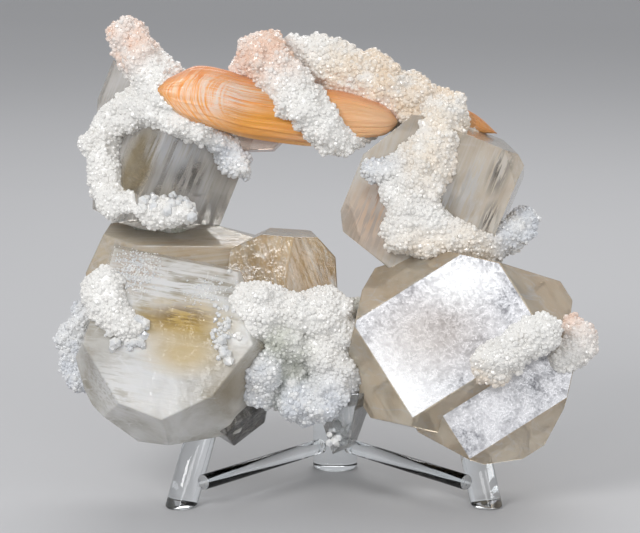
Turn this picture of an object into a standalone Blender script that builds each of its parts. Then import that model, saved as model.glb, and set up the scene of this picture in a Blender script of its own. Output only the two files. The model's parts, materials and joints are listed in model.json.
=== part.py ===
"""Apophyllite crystals grown together with stilbite and quartz druse, standing on a clear rod stand.

Metres, +Z up. The specimen is one solid. Places on it are given in millimetres as seen from the
front, 12 degrees above level: across to the right, up, and forward towards the viewer, all from
the middle of the front view. The stand's three legs and two rails are placed from the ground.
"""
import math
import random

import bmesh
import bpy
from mathutils import Vector, noise

MM = 0.001
GAP = 0.3 * MM                      # clearance between pieces that touch

# the front view
VIEW_TILT = math.radians(12)        # how far the front view looks down
VIEW_DISTANCE = 1400 * MM           # from the eye to the middle of the view
VIEW_HEIGHT = 95.4 * MM             # height of the middle of the view above the ground

# apophyllite: tetragonal prism, pyramids and flat ends
PYRAMID = math.radians(60.4)        # between a pyramid face's normal and the long axis
BLOCK = 400 * MM                    # block that every crystal is cut from, larger than any of them
SAME_CORNER = 0.05 * MM             # corners of a crystal closer than this are one

# stilbite sheaves
SHEAF_SIDES = 10
SMALL_SHEAF_SIDES = 8
SHEAF_THIN = 0.35                   # share of its depth that a sheaf keeps towards its tips
SHEAF_ROUND_UP = 0.8                # below 1 the section is fuller than an ellipse
SHEAF_ROUND_OUT = 0.6

# quartz druse
DRUSE_SEED = 11
BALL_STEPS = 3                      # balls from one given ball of a lump to the next
CRUST_CELL = 5.8 * MM               # width of one grain of the crust
CRUST_LOW = 0.7 * MM                # least height of a grain
CRUST_HIGH = 1.9 * MM               # greatest height of a grain
CRUST_SWAY = 0.6 * MM               # how far a grain strays sideways
CRUST_SMOOTHING = 0.25
HOLLOW_ANGLE = -0.5                 # radians; a grain in a sharper hollow than this stays low
HOLLOW_SHARE = 0.3                  # share of its height that such a grain keeps
LUMPY = 1.2 * MM                    # swells and dips of the lumps under the crust
LUMPY_PER_METRE = 160

CRUMB = 1e-8                        # cubic metres; a loose bit smaller than this is left out

# the stand, cut from standard clear rod of 1/2, 3/4 and 1/4 inch
FRONT_LEG_R = 6.35 * MM
BACK_LEG_R = 9.525 * MM
RAIL_R = 3.175 * MM
RAIL_HEIGHT = 10.8 * MM
RAIL_OVERHANG = 1.0 * MM            # how far a rail runs on in front of the leg it is glued to
RAIL_BESIDE = 0.8                   # where a rail meets the thick leg, in radii of that leg
RAIL_BEFORE = 0.75
RAIL_RUN_ON = 8 * MM                # spare length, cut off by the thick leg's round side
CUTTER_REACH = 20 * MM              # half the height of what cuts it
LEG_SIDES = 28
RAIL_SIDES = 16
ROUNDED_EDGE = 0.9 * MM             # polished edge of a cut end

LEFT_FOOT = (-57.2, -25.0)          # middles of the feet on the ground, mm
RIGHT_FOOT = (68.7, -25.0)
BACK_FOOT = (6.5, 36.5)
LEFT_LEG_TOP = (-47.2, -9.0, 34.0)  # where each leg's middle line ends inside the specimen
RIGHT_LEG_TOP = (62.5, -12.5, 27.0)
BACK_LEG_TOP = (6.5, 36.5, 62.0)

RIGHT = Vector((1, 0, 0))
UP = Vector((0, math.sin(VIEW_TILT), math.cos(VIEW_TILT)))
FORWARD = Vector((0, -math.cos(VIEW_TILT), math.sin(VIEW_TILT)))


def seen(across, up, forward):
    """Point that the front view shows at (across, up), this far in front of the middle plane."""
    nearer = 1 - forward * MM / VIEW_DISTANCE
    flat = RIGHT * across + UP * up
    return Vector((0, 0, VIEW_HEIGHT)) + flat * MM * nearer + FORWARD * forward * MM


def heading(across, up, forward):
    """Unit direction given as across, up and forward in the front view."""
    return (RIGHT * across + UP * up + FORWARD * forward).normalized()


def clear_scene():
    for thing in list(bpy.data.objects):
        bpy.data.objects.remove(thing, do_unlink=True)


def material(name, colour, roughness, transmission, ior):
    made = bpy.data.materials.new(name)
    made.use_nodes = True
    shader = made.node_tree.nodes["Principled BSDF"]
    shader.inputs["Base Color"].default_value = (*colour, 1)
    shader.inputs["Roughness"].default_value = roughness
    shader.inputs["Metallic"].default_value = 0
    shader.inputs["Transmission Weight"].default_value = transmission
    shader.inputs["IOR"].default_value = ior
    made.diffuse_color = (*colour, 1)
    return made


def new_object(name, bm, finish=None):
    mesh = bpy.data.meshes.new(name)
    bm.to_mesh(mesh)
    bm.free()
    if finish:
        mesh.materials.append(finish)
    made = bpy.data.objects.new(name, mesh)
    bpy.context.scene.collection.objects.link(made)
    return made


def as_guide(thing):
    """Marks a solid that only shapes another one."""
    thing.hide_render = True
    thing.display_type = "WIRE"
    return thing


def settled(thing, name, finish=None):
    """The object with its modifiers applied, as a new object."""
    bpy.context.view_layer.update()
    shape = thing.evaluated_get(bpy.context.evaluated_depsgraph_get())
    mesh = bpy.data.meshes.new_from_object(shape)
    bm = bmesh.new()
    bm.from_mesh(mesh)
    bpy.data.meshes.remove(mesh)
    bpy.data.objects.remove(thing, do_unlink=True)
    return new_object(name, bm, finish)


# crystals

def keep_behind(bm, point, normal):
    """Cuts the closed shape with a plane, keeps what lies behind it and closes the cut."""
    everything = bm.verts[:] + bm.edges[:] + bm.faces[:]
    cut = bmesh.ops.bisect_plane(
        bm, geom=everything, dist=1e-7, plane_co=point, plane_no=normal, clear_outer=True)
    rim = [piece for piece in cut["geom_cut"] if isinstance(piece, bmesh.types.BMEdge)]
    if len(rim) > 2:
        bmesh.ops.contextual_create(bm, geom=rim)


def cut_block(middle, planes, grow=0.0):
    """Convex crystal left when a block is cut by all its faces; grow moves every face outwards."""
    bm = bmesh.new()
    bmesh.ops.create_cube(bm, size=BLOCK)
    bmesh.ops.translate(bm, vec=middle, verts=bm.verts[:])
    for point, normal in planes:
        keep_behind(bm, point + normal * grow, normal)
    bmesh.ops.remove_doubles(bm, verts=bm.verts[:], dist=SAME_CORNER)
    bmesh.ops.recalc_face_normals(bm, faces=bm.faces[:])
    return bm


def crystal_planes(end, axis, face, ends, sides, length, far_ends, cuts=()):
    """Faces of one apophyllite crystal.

    end is the middle of its near flat end and axis the long axis there, outwards. face is the
    way that its first prism face looks. ends holds how far the flat end reaches to each of its
    four pyramid edges, sides how far the four prism faces are from the axis, and far_ends the
    reach at the other end. cuts are further faces, each a point and the way that it looks.
    """
    top = seen(*end)
    along = heading(*axis)
    first = heading(*face)
    first = (first - along * first.dot(along)).normalized()
    second = along.cross(first)
    bottom = top - along * length * MM
    planes = [(top, along), (bottom, -along)]
    for turn in range(4):
        angle = math.radians(90 * turn)
        prism = first * math.cos(angle) + second * math.sin(angle)
        planes.append((top + prism * sides[turn] * MM, prism))
        angle += math.radians(45)
        out = first * math.cos(angle) + second * math.sin(angle)
        near = out * math.sin(PYRAMID) + along * math.cos(PYRAMID)
        planes.append((top + out * ends[turn] * MM, near))
        far = out * math.sin(PYRAMID) - along * math.cos(PYRAMID)
        planes.append((bottom + out * far_ends[turn] * MM, far))
    planes += faces_seen(cuts)
    return planes


def faces_seen(faces):
    return [(seen(*point), heading(*normal)) for point, normal in faces]


def lower_right_front():
    """The big crystal whose silvery flat end looks at the viewer."""
    return crystal_planes(
        end=(53.1, -25.7, 34), axis=(0, 0.05, 1), face=(0.975, -0.2215, 0),
        ends=(31.8, 23.2, 31.8, 23.0), sides=(48.6, 30.8, 37.4, 41.8),
        length=62, far_ends=(36, 20, 24, 20),
        cuts=[((22.3, -0.6, 8), (-0.264, 0.965, -0.1)),
              ((16.3, -13.6, 8), (-0.9, 0.436, -0.1))])


def lower_right_back():
    """Its twin, one step back and lower."""
    return crystal_planes(
        end=(71.3, -42.9, 25), axis=(0, 0.05, 1), face=(0.975, -0.2215, 0),
        ends=(29.7, 23.7, 27.2, 25.6), sides=(32.0, 30, 30, 40),
        length=56, far_ends=(18, 18, 18, 18),
        cuts=[((96.2, -66.6, 8), (0.914, -0.406, 0.0)),
              ((76, -79.8, 6), (0.02, -1, -0.1)),
              ((47.2, -71.4, 5), (-0.412, -0.911, -0.05))])


def upper_right():
    """Glassy prism standing on the lower right crystals, leaning to the right."""
    return crystal_planes(
        end=(57.8, 57.7, 3), axis=(0.375, 0.927, 0.14), face=(-0.087, 0.02, 1),
        ends=(29.5, 30.5, 29, 29), sides=(20, 31.2, 22, 31.0),
        length=68, far_ends=(24, 24, 26, 26),
        cuts=[((62, 55.6, -14), (0.08, 0.99, -0.1)),
              ((80.1, 46.9, 0), (0.874, 0.487, 0.0)),
              ((8.7, 20.4, 4), (-0.99, -0.12, 0.0)),
              ((18.2, 8.9, 0), (-0.62, -0.785, -0.1)),
              ((20.7, 11.4, 18.5), (-0.48, -0.60, 0.64))])


def upper_left():
    """Clear prism on the left, one long edge towards the viewer, leaning to the right."""
    return crystal_planes(
        end=(-54.9, 72.5, 3), axis=(0.375, 0.927, 0.06), face=(0.571, -0.231, 0.788),
        ends=(30, 30, 38, 27), sides=(16.5, 29.3, 39.5, 13.5),
        length=60, far_ends=(28, 28, 30, 28),
        cuts=[((-65, 46, -26), (0, 0.1, -1)),
              ((-93.2, 48, -8), (-1, 0.02, 0)),
              ((-57.8, 18.4, 10), (0.05, -0.97, 0.15))])


def lower_left_front():
    """Milky crystal at the lower left, its big face towards the viewer."""
    return faces_seen([
        ((-64, -43, 34), (-0.06, 0.16, 0.985)),
        ((-91.5, -42.7, 32.3), (-0.78, -0.38, 0.50)),
        ((-97.9, -40.7, 6), (-0.97, -0.2, -0.1)),
        ((-93.8, -54.3, 6), (-0.88, -0.47, -0.1)),
        ((-83.4, -64.2, 6), (-0.64, -0.77, -0.1)),
        ((-75.4, -59.5, 36), (-0.36, -0.80, 0.47)),
        ((-55.3, -58.6, 37), (0.36, -0.76, 0.54)),
        ((-38.4, -45.8, 36), (0.70, -0.50, 0.50)),
        ((-62, -70.2, 6), (0.05, -0.97, -0.22)),
        ((-29, -60, 6), (0.90, -0.42, 0.02)),
        ((-59.9, -13.8, 29.5), (0.12, 0.66, 0.74)),
        ((-54.5, 1.4, 18), (0.19, 0.97, 0.12)),
        ((-96, -22, 10), (-0.93, 0.34, 0.12)),
        ((-30, -12, 18), (0.80, 0.45, 0.40)),
        ((-60, -30, -26), (0.05, 0.0, -1)),
        ((-60, -66, -16), (0.0, -0.75, -0.66)),
    ])


def lower_left_back():
    """Tan prism lying behind it, its striated upper face just showing."""
    return faces_seen([
        ((-60, 17.1, -15), (0.02, 0.93, 0.36)),
        ((-45, 17.4, -17), (0.08, 0.97, -0.22)),
        ((-35.9, 14.9, -10), (0.28, 0.96, 0.05)),
        ((-60, 5, 7), (0.05, -0.25, 0.96)),
        ((-84, 8, 2), (-0.62, 0.12, 0.77)),
        ((-90.9, 9.7, -8), (-0.90, 0.43, 0.0)),
        ((-96, -6, -8), (-0.97, -0.25, 0.0)),
        ((-24, 5, -10), (0.95, 0.2, 0.2)),
        ((-60, 0, -40), (0.0, 0.1, -1)),
        ((-60, -30, -10), (0.0, -1, -0.1)),
        ((-60, -25, -34), (0.0, -0.7, -0.7)),
        ((-88, 5, -32), (-0.6, 0.1, -0.78)),
    ])


def middle_back():
    """Honey-coloured crystal between them."""
    return faces_seen([
        ((-18, 6, 14), (-0.28, 0.34, 0.90)),
        ((-3, 0, 13), (0.42, 0.22, 0.88)),
        ((-14, 13.6, 0), (0.05, 0.99, 0.1)),
        ((-27, 12.2, 0), (-0.42, 0.90, 0.05)),
        ((3, 7.6, 0), (0.74, 0.67, 0.0)),
        ((6.8, -3, 0), (0.99, 0.06, 0.0)),
        ((-36, 0, 0), (-0.95, 0.1, -0.2)),
        ((-12, -34, 4), (0.1, -1, 0.2)),
        ((-15, -5, -27), (0.1, 0.2, -1)),
        ((0, 0, -18), (0.7, 0.1, -0.7)),
    ])


def hidden_back():
    """Blocky crystal at the back, standing on the thick leg."""
    return crystal_planes(
        end=(9, -30, -60), axis=(0.08, 0.10, -1), face=(0.98, 0.16, 0.1),
        ends=(20, 20, 20, 20), sides=(21, 28, 22, 15),
        length=62, far_ends=(16, 16, 16, 16),
        cuts=[((8, -49.5, -34), (0, -0.978, -0.208))])


def dark_tip():
    """Small smoky crystal pointing down beside the left leg."""
    return faces_seen([
        ((-39.6, -70.2, 6), (-0.53, -0.83, 0.15)),
        ((-31, -65, 8), (0.63, -0.73, 0.3)),
        ((-40, -64, 14), (-0.25, 0.05, 0.97)),
        ((-28, -62, 12), (0.45, 0.0, 0.9)),
        ((-22, -60, 6), (0.98, -0.2, 0)),
        ((-44, -64, 4), (-0.95, 0.3, 0)),
        ((-32, -48, 4), (0, 1, 0)),
        ((-32, -62, -10), (0, -0.3, -0.95)),
    ])


def hanging_tip():
    """Clear crystal hanging below the middle druse."""
    return faces_seen([
        ((5.4, -70.8, 13), (-0.93, -0.25, 0.25)),
        ((10.3, -74.5, 13), (0.40, -0.90, 0.15)),
        ((14.6, -67, 13), (0.93, -0.29, 0.25)),
        ((6, -66, 20), (-0.30, -0.05, 0.95)),
        ((8, -52, 10), (0, 1, 0)),
        ((8, -64, 2), (0, -0.2, -0.98)),
    ])


def clear_chip():
    """Clear crystal with a pink tint under the stilbite."""
    return faces_seen([
        ((-36, 51, 12), (-0.75, -0.60, 0.2)),
        ((-27, 48.4, 12), (0.03, -0.99, 0.1)),
        ((-18, 50, 12), (0.70, -0.70, 0.1)),
        ((-28, 52, 19), (-0.1, -0.1, 0.98)),
        ((-28, 62, 12), (0, 1, 0)),
        ((-28, 52, 3), (0, 0, -1)),
        ((-40, 58, 12), (-1, 0, 0)),
        ((-12, 58, 12), (1, 0, 0)),
    ])


# stilbite

def sheaf(middle_line, half_heights, half_depth, sides=SHEAF_SIDES):
    """Spindle of stilbite blades: lens sections along a line, drawn to a point at both ends."""
    bm = bmesh.new()
    rings = []
    last = len(middle_line) - 1
    for place, (middle, half) in enumerate(zip(middle_line, half_heights)):
        if place in (0, last):
            rings.append([bm.verts.new(seen(*middle))])
            continue
        ring = []
        deep = half_depth * min(1.0, SHEAF_THIN + (1 - SHEAF_THIN) * half / max(half_heights))
        for step in range(sides):
            angle = 2 * math.pi * (step + 0.5) / sides
            rise = math.copysign(abs(math.sin(angle)) ** SHEAF_ROUND_UP, math.sin(angle))
            out = math.copysign(abs(math.cos(angle)) ** SHEAF_ROUND_OUT, math.cos(angle))
            ring.append(bm.verts.new(
                seen(middle[0], middle[1] + rise * half, middle[2] + out * deep)))
        rings.append(ring)
    for one, two in zip(rings, rings[1:]):
        for step in range(sides):
            after = (step + 1) % sides
            corners = [one[step % len(one)], one[after % len(one)],
                       two[after % len(two)], two[step % len(two)]]
            bm.faces.new(list(dict.fromkeys(corners)))
    bmesh.ops.recalc_face_normals(bm, faces=bm.faces[:])
    return bm


def main_sheaf():
    middle_line = [(-67, 73, 17), (-59, 71, 17), (-52.5, 71, 17), (-46.5, 70.3, 16), (-38.5, 68.4, 15),
                   (-30, 66.1, 14), (-12.5, 63.4, 12), (-1.5, 62, 11), (8.5, 62, 10), (17, 61.3, 9),
                   (27, 60, 8), (32, 60, 8)]
    return sheaf(middle_line, [0, 7.3, 11.4, 12.4, 12.6, 12.4, 12.3, 11.8, 9.8, 7.3, 3.6, 0], 8.5)


def small_sheaf():
    """Second sheaf whose tip shows at the back on the right."""
    middle_line = [(73, 55, -14), (67.5, 57.8, -13), (61, 60.5, -12), (52, 63, -11), (40, 64, -10)]
    return sheaf(middle_line, [0, 2.6, 4.2, 4.6, 0], 4.5, SMALL_SHEAF_SIDES)


# quartz druse: each lump is a chain of (across, up, forward, radius)

LUMPS = {
    "left finger": [(-79.3, 95, 12, 9.9), (-73.5, 86, 13, 10.6), (-66.5, 76, 15, 11.6), (-63.6, 66, 16, 11.5),
                    (-74, 66.7, 10, 9.4), (-85, 61, 3, 8)],
    "left finger foot": [(-63.6, 66, 16, 11.5), (-57, 60, 19, 9), (-50, 57, 17, 6.5)],
    "left band": [(-87, 60, 1, 8), (-90.5, 50, 0, 8.6), (-88.6, 38, 2, 9), (-85, 27, 6, 8.2),
                  (-76.5, 24.5, 13, 7.6), (-65.3, 22.6, 19, 6.8), (-56, 22, 17, 6.2)],
    "left lump": [(-35, 43.6, 6, 8.4), (-38, 49, 8, 6.4), (-47, 56, 14, 6)],
    "front finger": [(-32, 80, 11, 6), (-24.8, 87.6, 14, 11.4), (-17.5, 79.7, 18, 11), (-9, 68.8, 21, 10.4),
                     (0, 59.7, 20, 9.4), (6, 52.5, 16, 7.8), (14, 53.5, 12, 6.2), (20, 56, 9, 4.5)],
    "arch": [(-10, 90.2, 4, 7.4), (0.8, 86, 4, 10.2), (12.4, 79.9, 3, 12.8), (24.8, 73.4, 3, 13.8),
             (35.5, 68.8, 4, 12.4), (44.6, 66.4, 6, 10.2)],
    "right column": [(52.5, 63.5, 10, 9.6), (49, 57, 16, 10.8), (44.5, 46, 19, 11.6), (41.5, 34, 21, 10.8),
                     (37.5, 22.5, 21, 10.2), (33.5, 13, 20, 8.8), (46, 10.5, 21, 8.8), (59, 9, 20, 7.8),
                     (71, 7.5, 15, 6.4)],
    "right chip": [(34, 41, 21, 7), (21.5, 39.5, 16, 5.6)],
    "right knob": [(72, 8.5, 14, 7), (78, 12.5, 12, 7.4), (83.5, 17, 10, 7), (86, 19, 9, 5)],
    "left shoulder": [(-89.5, -9.5, 24, 11.2), (-86, -17, 27, 10), (-79.5, -25, 29, 7.6)],
    "left hip": [(-96, -22, 13, 8.4), (-102, -31.5, 9, 7.8), (-101, -42, 7, 7), (-97.5, -47.5, 9, 5.8)],
    "middle": [(-32, -26, 26, 8.6), (-24.5, -16.5, 23, 11.6), (-12.4, -20.5, 20, 10.8), (1, -18.2, 20, 11.4),
               (8, -27, 19, 9.8)],
    "middle bridge": [(10, -20, 12, 6), (20, -18, 6, 6)],
    "middle hollow": [(-16, -33, 14, 9), (-12, -43, 11, 9), (-14, -53, 13, 8)],
    "blue ball": [(-23.4, -41.4, 22, 9.2), (-26, -53, 16, 7)],
    "middle fall": [(2.5, -34, 17, 11.6), (7, -47, 16, 10.8), (1, -56, 18, 10.2), (-9, -56, 18, 10.2)],
    "right finger": [(70.5, -39.6, 35, 8.6), (81, -33.6, 36, 9.8), (92.5, -27, 35, 8.8)],
    "right finger behind": [(106.6, -32, 21, 9.4), (100, -38.5, 23, 7)],
    "back left": [(-62, -20, -28, 12), (-40, -22, -26, 13), (-18, -28, -26, 13), (8, -30, -20, 12)],
    "back right": [(28, -26, -20, 12), (45, -16, -18, 12), (50, 2, -16, 11)],
    "back of arch": [(60, 52, -10, 8), (46, 60, -10, 9), (30, 66, -6, 10)],
    "back of left finger": [(-60, 62, -12, 10), (-48, 50, -14, 8)],
    "left join": [(-62, 14, -6, 11), (-72, 14, -10, 10)],
    "stilbite root": [(20, 62, 8, 8), (10, 66, 6, 9)],
}


def chain_of_balls(bm, chain):
    for a, b in zip(chain, chain[1:]):
        for step in range(BALL_STEPS + 1):
            mix = step / BALL_STEPS
            across, up, forward, radius = (p + (q - p) * mix for p, q in zip(a, b))
            ball = bmesh.ops.create_icosphere(bm, subdivisions=2, radius=radius * MM)
            bmesh.ops.translate(bm, vec=seen(across, up, forward), verts=ball["verts"])


def druse_core(name, cell):
    """All the lumps as one skin of even squares."""
    bm = bmesh.new()
    for chain in LUMPS.values():
        chain_of_balls(bm, chain)
    core = new_object(name, bm)
    skin = core.modifiers.new("skin", "REMESH")
    skin.mode = "VOXEL"
    skin.voxel_size = cell
    return settled(core, name)


def druse():
    """The lumps, with a blunt quartz grain raised on every square."""
    rng = random.Random(DRUSE_SEED)
    core = druse_core("druse", CRUST_CELL)
    bm = bmesh.new()
    bm.from_mesh(core.data)
    bpy.data.objects.remove(core, do_unlink=True)
    bmesh.ops.smooth_vert(
        bm, verts=bm.verts[:], factor=CRUST_SMOOTHING, use_axis_x=True, use_axis_y=True, use_axis_z=True)
    bm.normal_update()
    for vert in bm.verts:
        vert.co += vert.normal * noise.noise(vert.co * LUMPY_PER_METRE) * LUMPY
        vert.co += Vector([rng.uniform(-CRUST_SWAY, CRUST_SWAY) for _ in range(3)])
    bm.normal_update()
    raised = bmesh.ops.poke(bm, faces=bm.faces[:])
    bm.normal_update()
    for vert in raised["verts"]:
        height = rng.uniform(CRUST_LOW, CRUST_HIGH)
        hollow = min(edge.calc_face_angle_signed(0) for edge in vert.link_faces[0].edges)
        if hollow < HOLLOW_ANGLE:
            height *= HOLLOW_SHARE
        vert.co += vert.normal * height
    return new_object("druse", bm)


# the stand

def rod(bottom, top, radius, sides):
    bm = bmesh.new()
    line = top - bottom
    bmesh.ops.create_cone(
        bm, cap_ends=True, segments=sides, radius1=radius, radius2=radius, depth=line.length)
    bmesh.ops.rotate(bm, matrix=line.to_track_quat("Z", "Y").to_matrix(), verts=bm.verts[:])
    bmesh.ops.translate(bm, vec=(bottom + top) / 2, verts=bm.verts[:])
    return bm


def round_flat_end(bm, normal):
    """Rounds the rim of the flat end that looks along normal."""
    end = max(bm.faces, key=lambda face: face.normal.dot(normal) * (len(face.verts) > 4))
    bmesh.ops.bevel(
        bm, geom=end.edges[:], offset=ROUNDED_EDGE, segments=2, profile=0.5, affect="EDGES", material=-1)


def leg(name, foot, top, radius, finish, crystals):
    """Leg cut level at the ground, its top shaped to the crystals that it carries."""
    foot = Vector((foot[0] * MM, foot[1] * MM, 0))
    top = Vector(top) * MM
    spare = (top - foot).normalized() * 2 * radius
    bm = rod(foot - spare, top, radius, LEG_SIDES)
    keep_behind(bm, foot, Vector((0, 0, -1)))
    bm.normal_update()
    round_flat_end(bm, Vector((0, 0, -1)))
    made = new_object(name, bm, finish)
    for planes in crystals:
        cutter = as_guide(new_object(name + "_cutter", cut_block(seen(0, 0, 0), planes, grow=GAP)))
        cut = made.modifiers.new("seat", "BOOLEAN")
        cut.operation = "DIFFERENCE"
        cut.object = cutter


def rail(name, leg_foot, leg_top, side, finish):
    """Thin rod glued along one front leg, running back to the thick leg."""
    foot = Vector((leg_foot[0] * MM, leg_foot[1] * MM, 0))
    line = (Vector(leg_top) * MM - foot).normalized()
    beside = foot + line * (RAIL_HEIGHT / line.z)
    back = Vector((BACK_FOOT[0] * MM, BACK_FOOT[1] * MM, RAIL_HEIGHT))
    target = back - Vector((side * RAIL_BESIDE, RAIL_BEFORE, 0)) * BACK_LEG_R
    run = target - beside
    run.z = 0
    run.normalize()
    off = Vector((side * run.y, -side * run.x, 0))
    apart = run.cross(line).normalized()
    room = (FRONT_LEG_R + RAIL_R + GAP) / abs(off.dot(apart))
    start = beside + off * room
    start -= run * RAIL_OVERHANG
    made = new_object(name, rod(start, target + run * RAIL_RUN_ON, RAIL_R, RAIL_SIDES), finish)
    reach = Vector((0, 0, CUTTER_REACH))
    cutter = new_object(
        name + "_cutter", rod(back - reach, back + reach, BACK_LEG_R + GAP, LEG_SIDES))
    cut = made.modifiers.new("joint", "BOOLEAN")
    cut.operation = "DIFFERENCE"
    cut.object = as_guide(cutter)


def fill_cavities(bm):
    """Removes loose crumbs and the inner skins of the hollows between lumps and crystals."""
    left = set(bm.faces)
    while left:
        skin = [left.pop()]
        for face in skin:
            near = {other for edge in face.edges for other in edge.link_faces} & left
            left -= near
            skin += near
        volume = sum(face.calc_area() * face.normal.dot(face.calc_center_median()) for face in skin) / 3
        if volume < CRUMB:
            bmesh.ops.delete(bm, geom=skin, context="FACES")
            left = {face for face in left if face.is_valid}


def grown_cluster(finish):
    """Every crystal and lump joined in one solid."""
    bodies = [cut_block(seen(0, 0, 0), planes) for planes in (
        lower_right_front(), lower_right_back(), upper_right(), upper_left(), lower_left_front(),
        lower_left_back(), middle_back(), hidden_back(), dark_tip(), hanging_tip(), clear_chip())]
    bodies += [main_sheaf(), small_sheaf()]
    joined = bpy.data.collections.new("joined")
    bpy.context.scene.collection.children.link(joined)
    for number, bm in enumerate(bodies):
        piece = as_guide(new_object(f"grown_{number}", bm))
        bpy.context.scene.collection.objects.unlink(piece)
        joined.objects.link(piece)
    cluster = druse()
    join = cluster.modifiers.new("grown together", "BOOLEAN")
    join.operation = "UNION"
    join.operand_type = "COLLECTION"
    join.collection = joined
    join.use_self = True
    cluster = settled(cluster, "apophyllite_cluster", finish)
    bm = bmesh.new()
    bm.from_mesh(cluster.data)
    fill_cavities(bm)
    bm.to_mesh(cluster.data)
    bm.free()


def centre_on_origin():
    """Moves the whole piece so that the middle of its footprint box is the origin."""
    bpy.context.view_layer.update()
    corners = [Vector(corner) for corner in bpy.data.objects["apophyllite_cluster"].bound_box]
    middle = (min(corners, key=sum) + max(corners, key=sum)) / 2
    for thing in bpy.data.objects:
        thing.location = (-middle.x, -middle.y, 0)


def main():
    clear_scene()
    apophyllite = material("apophyllite", (0.80, 0.76, 0.70), 0.12, 0.35, 1.536)
    acrylic = material("clear_acrylic", (0.95, 0.96, 0.97), 0.02, 1.0, 1.49)
    grown_cluster(apophyllite)
    front_left = (lower_left_front(), dark_tip())
    front_right = (lower_right_front(), lower_right_back())
    leg("leg_left", LEFT_FOOT, LEFT_LEG_TOP, FRONT_LEG_R, acrylic, front_left)
    leg("leg_right", RIGHT_FOOT, RIGHT_LEG_TOP, FRONT_LEG_R, acrylic, front_right)
    leg("leg_back", BACK_FOOT, BACK_LEG_TOP, BACK_LEG_R, acrylic, (hidden_back(),))
    rail("rail_left", LEFT_FOOT, LEFT_LEG_TOP, 1, acrylic)
    rail("rail_right", RIGHT_FOOT, RIGHT_LEG_TOP, -1, acrylic)
    centre_on_origin()


main()
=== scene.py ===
"""The look of an apophyllite cluster with stilbite and quartz druse on its clear rod stand.

Metres, +Z up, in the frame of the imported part. Places on the specimen are in millimetres as seen
from the front: across to the right, up, and forward towards the viewer, from the middle of the
front view, which looks down by 12 degrees.
"""
import json
import math
import random

import bmesh
import bpy
from mathutils import Matrix, Vector, noise

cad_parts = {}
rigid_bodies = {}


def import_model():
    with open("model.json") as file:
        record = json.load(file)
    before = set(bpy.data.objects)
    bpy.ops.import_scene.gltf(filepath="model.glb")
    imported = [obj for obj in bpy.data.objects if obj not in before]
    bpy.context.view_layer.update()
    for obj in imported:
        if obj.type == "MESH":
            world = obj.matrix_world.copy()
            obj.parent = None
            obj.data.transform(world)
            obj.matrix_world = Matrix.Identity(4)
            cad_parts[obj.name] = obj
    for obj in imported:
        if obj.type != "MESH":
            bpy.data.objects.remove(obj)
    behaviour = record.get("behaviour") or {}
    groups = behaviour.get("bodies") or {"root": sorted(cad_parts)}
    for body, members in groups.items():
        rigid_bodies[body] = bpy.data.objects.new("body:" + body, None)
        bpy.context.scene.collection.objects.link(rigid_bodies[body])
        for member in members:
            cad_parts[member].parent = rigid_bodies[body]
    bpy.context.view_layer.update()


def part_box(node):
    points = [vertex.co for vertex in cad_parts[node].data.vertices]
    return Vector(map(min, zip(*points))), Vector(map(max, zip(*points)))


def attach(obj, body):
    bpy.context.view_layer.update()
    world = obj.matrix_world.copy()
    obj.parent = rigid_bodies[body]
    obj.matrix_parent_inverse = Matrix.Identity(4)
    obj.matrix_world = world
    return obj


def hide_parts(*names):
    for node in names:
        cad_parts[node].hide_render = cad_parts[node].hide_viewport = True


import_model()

MM = 0.001
GAP = 0.3 * MM                      # clearance between a leg and the crystals it carries

# the front view
VIEW_TILT = math.radians(12)
VIEW_DISTANCE = 1400 * MM
VIEW_HEIGHT = 95.4 * MM
HALF_WIDTH = 132.2 * MM             # half of what the view takes in, at the specimen
SENSOR = 36.0
CLIP = (0.1, 30)

# the stand
FRONT_LEG_R = 6.35 * MM
BACK_LEG_R = 9.525 * MM
RAIL_R = 3.175 * MM
RAIL_HEIGHT = 10.8 * MM
RAIL_OVERHANG = 1.0 * MM
ROUNDED_EDGE = 0.9 * MM
ROUNDED_STEPS = 4
LEFT_FOOT = (-57.2, -25.0)          # feet and tops in mm, from the middle of the front view
RIGHT_FOOT = (68.7, -25.0)
BACK_FOOT = (6.5, 36.5)
LEFT_LEG_TOP = (-47.2, -9.0, 34.0)
RIGHT_LEG_TOP = (62.5, -12.5, 27.0)
BACK_LEG_TOP = (6.5, 36.5, 62.0)
RAIL_PAST = 8 * MM                  # how far a rail runs on into the thick leg before it is cut
RAIL_ASIDE = 0.8                    # where a rail meets the thick leg, in shares of its radius
RAIL_AHEAD = 0.75
RAIL_ROUNDED_EDGE = 0.4 * MM
RAIL_ROUNDED_STEPS = 2
JOINT_REACH = 20 * MM               # how far up and down the thick leg's side is cut from a rail
ROD_SIDES = 64
RAIL_SIDES = 40
ROD_CREASE = 40                     # degrees; edges of a piece that bend more stay crisp

# apophyllite
PYRAMID = math.radians(60.4)        # between a pyramid face's normal and the long axis
WORN_EDGE = 0.5 * MM
UNEVEN = 0.2 * MM                   # swells and dips of a crystal's faces, seen as it reflects
BLOCK = 400 * MM                    # width of the block that a crystal is cut from
ON_PLANE = 1e-7                     # metres; a corner this near to a cut lies on it
SAME_CORNER = 0.05 * MM             # corners nearer to each other than this become one
SAME_FACE = 0.01 * MM               # faces less than this apart count as one face
PARALLEL = 0.999                    # cosine between the normals of faces that count as parallel
FLAT_END = 0.995                    # cosine within which a face looks along the long axis
SHARP = math.radians(8)             # edges bent by more than this are worn round

# films of bubbles inside the crystals
VEIL_SEED = 5
VEIL_CELLS = 28                     # cells of its grid each way
VEIL_THICKNESS = 0.04 * MM
VEIL_DEPTH = 0.8 * MM               # least distance from a veil to its crystal's faces
VEIL_WAVES = ((60, 5), (260, 1))    # how close together its waves are, and how high in mm
VEIL_APART = 100                    # makes the waves of each veil unlike the next one's
VEIL_STRAY = 0.5                    # how far it strays from the middle, in shares of its reach

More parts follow.
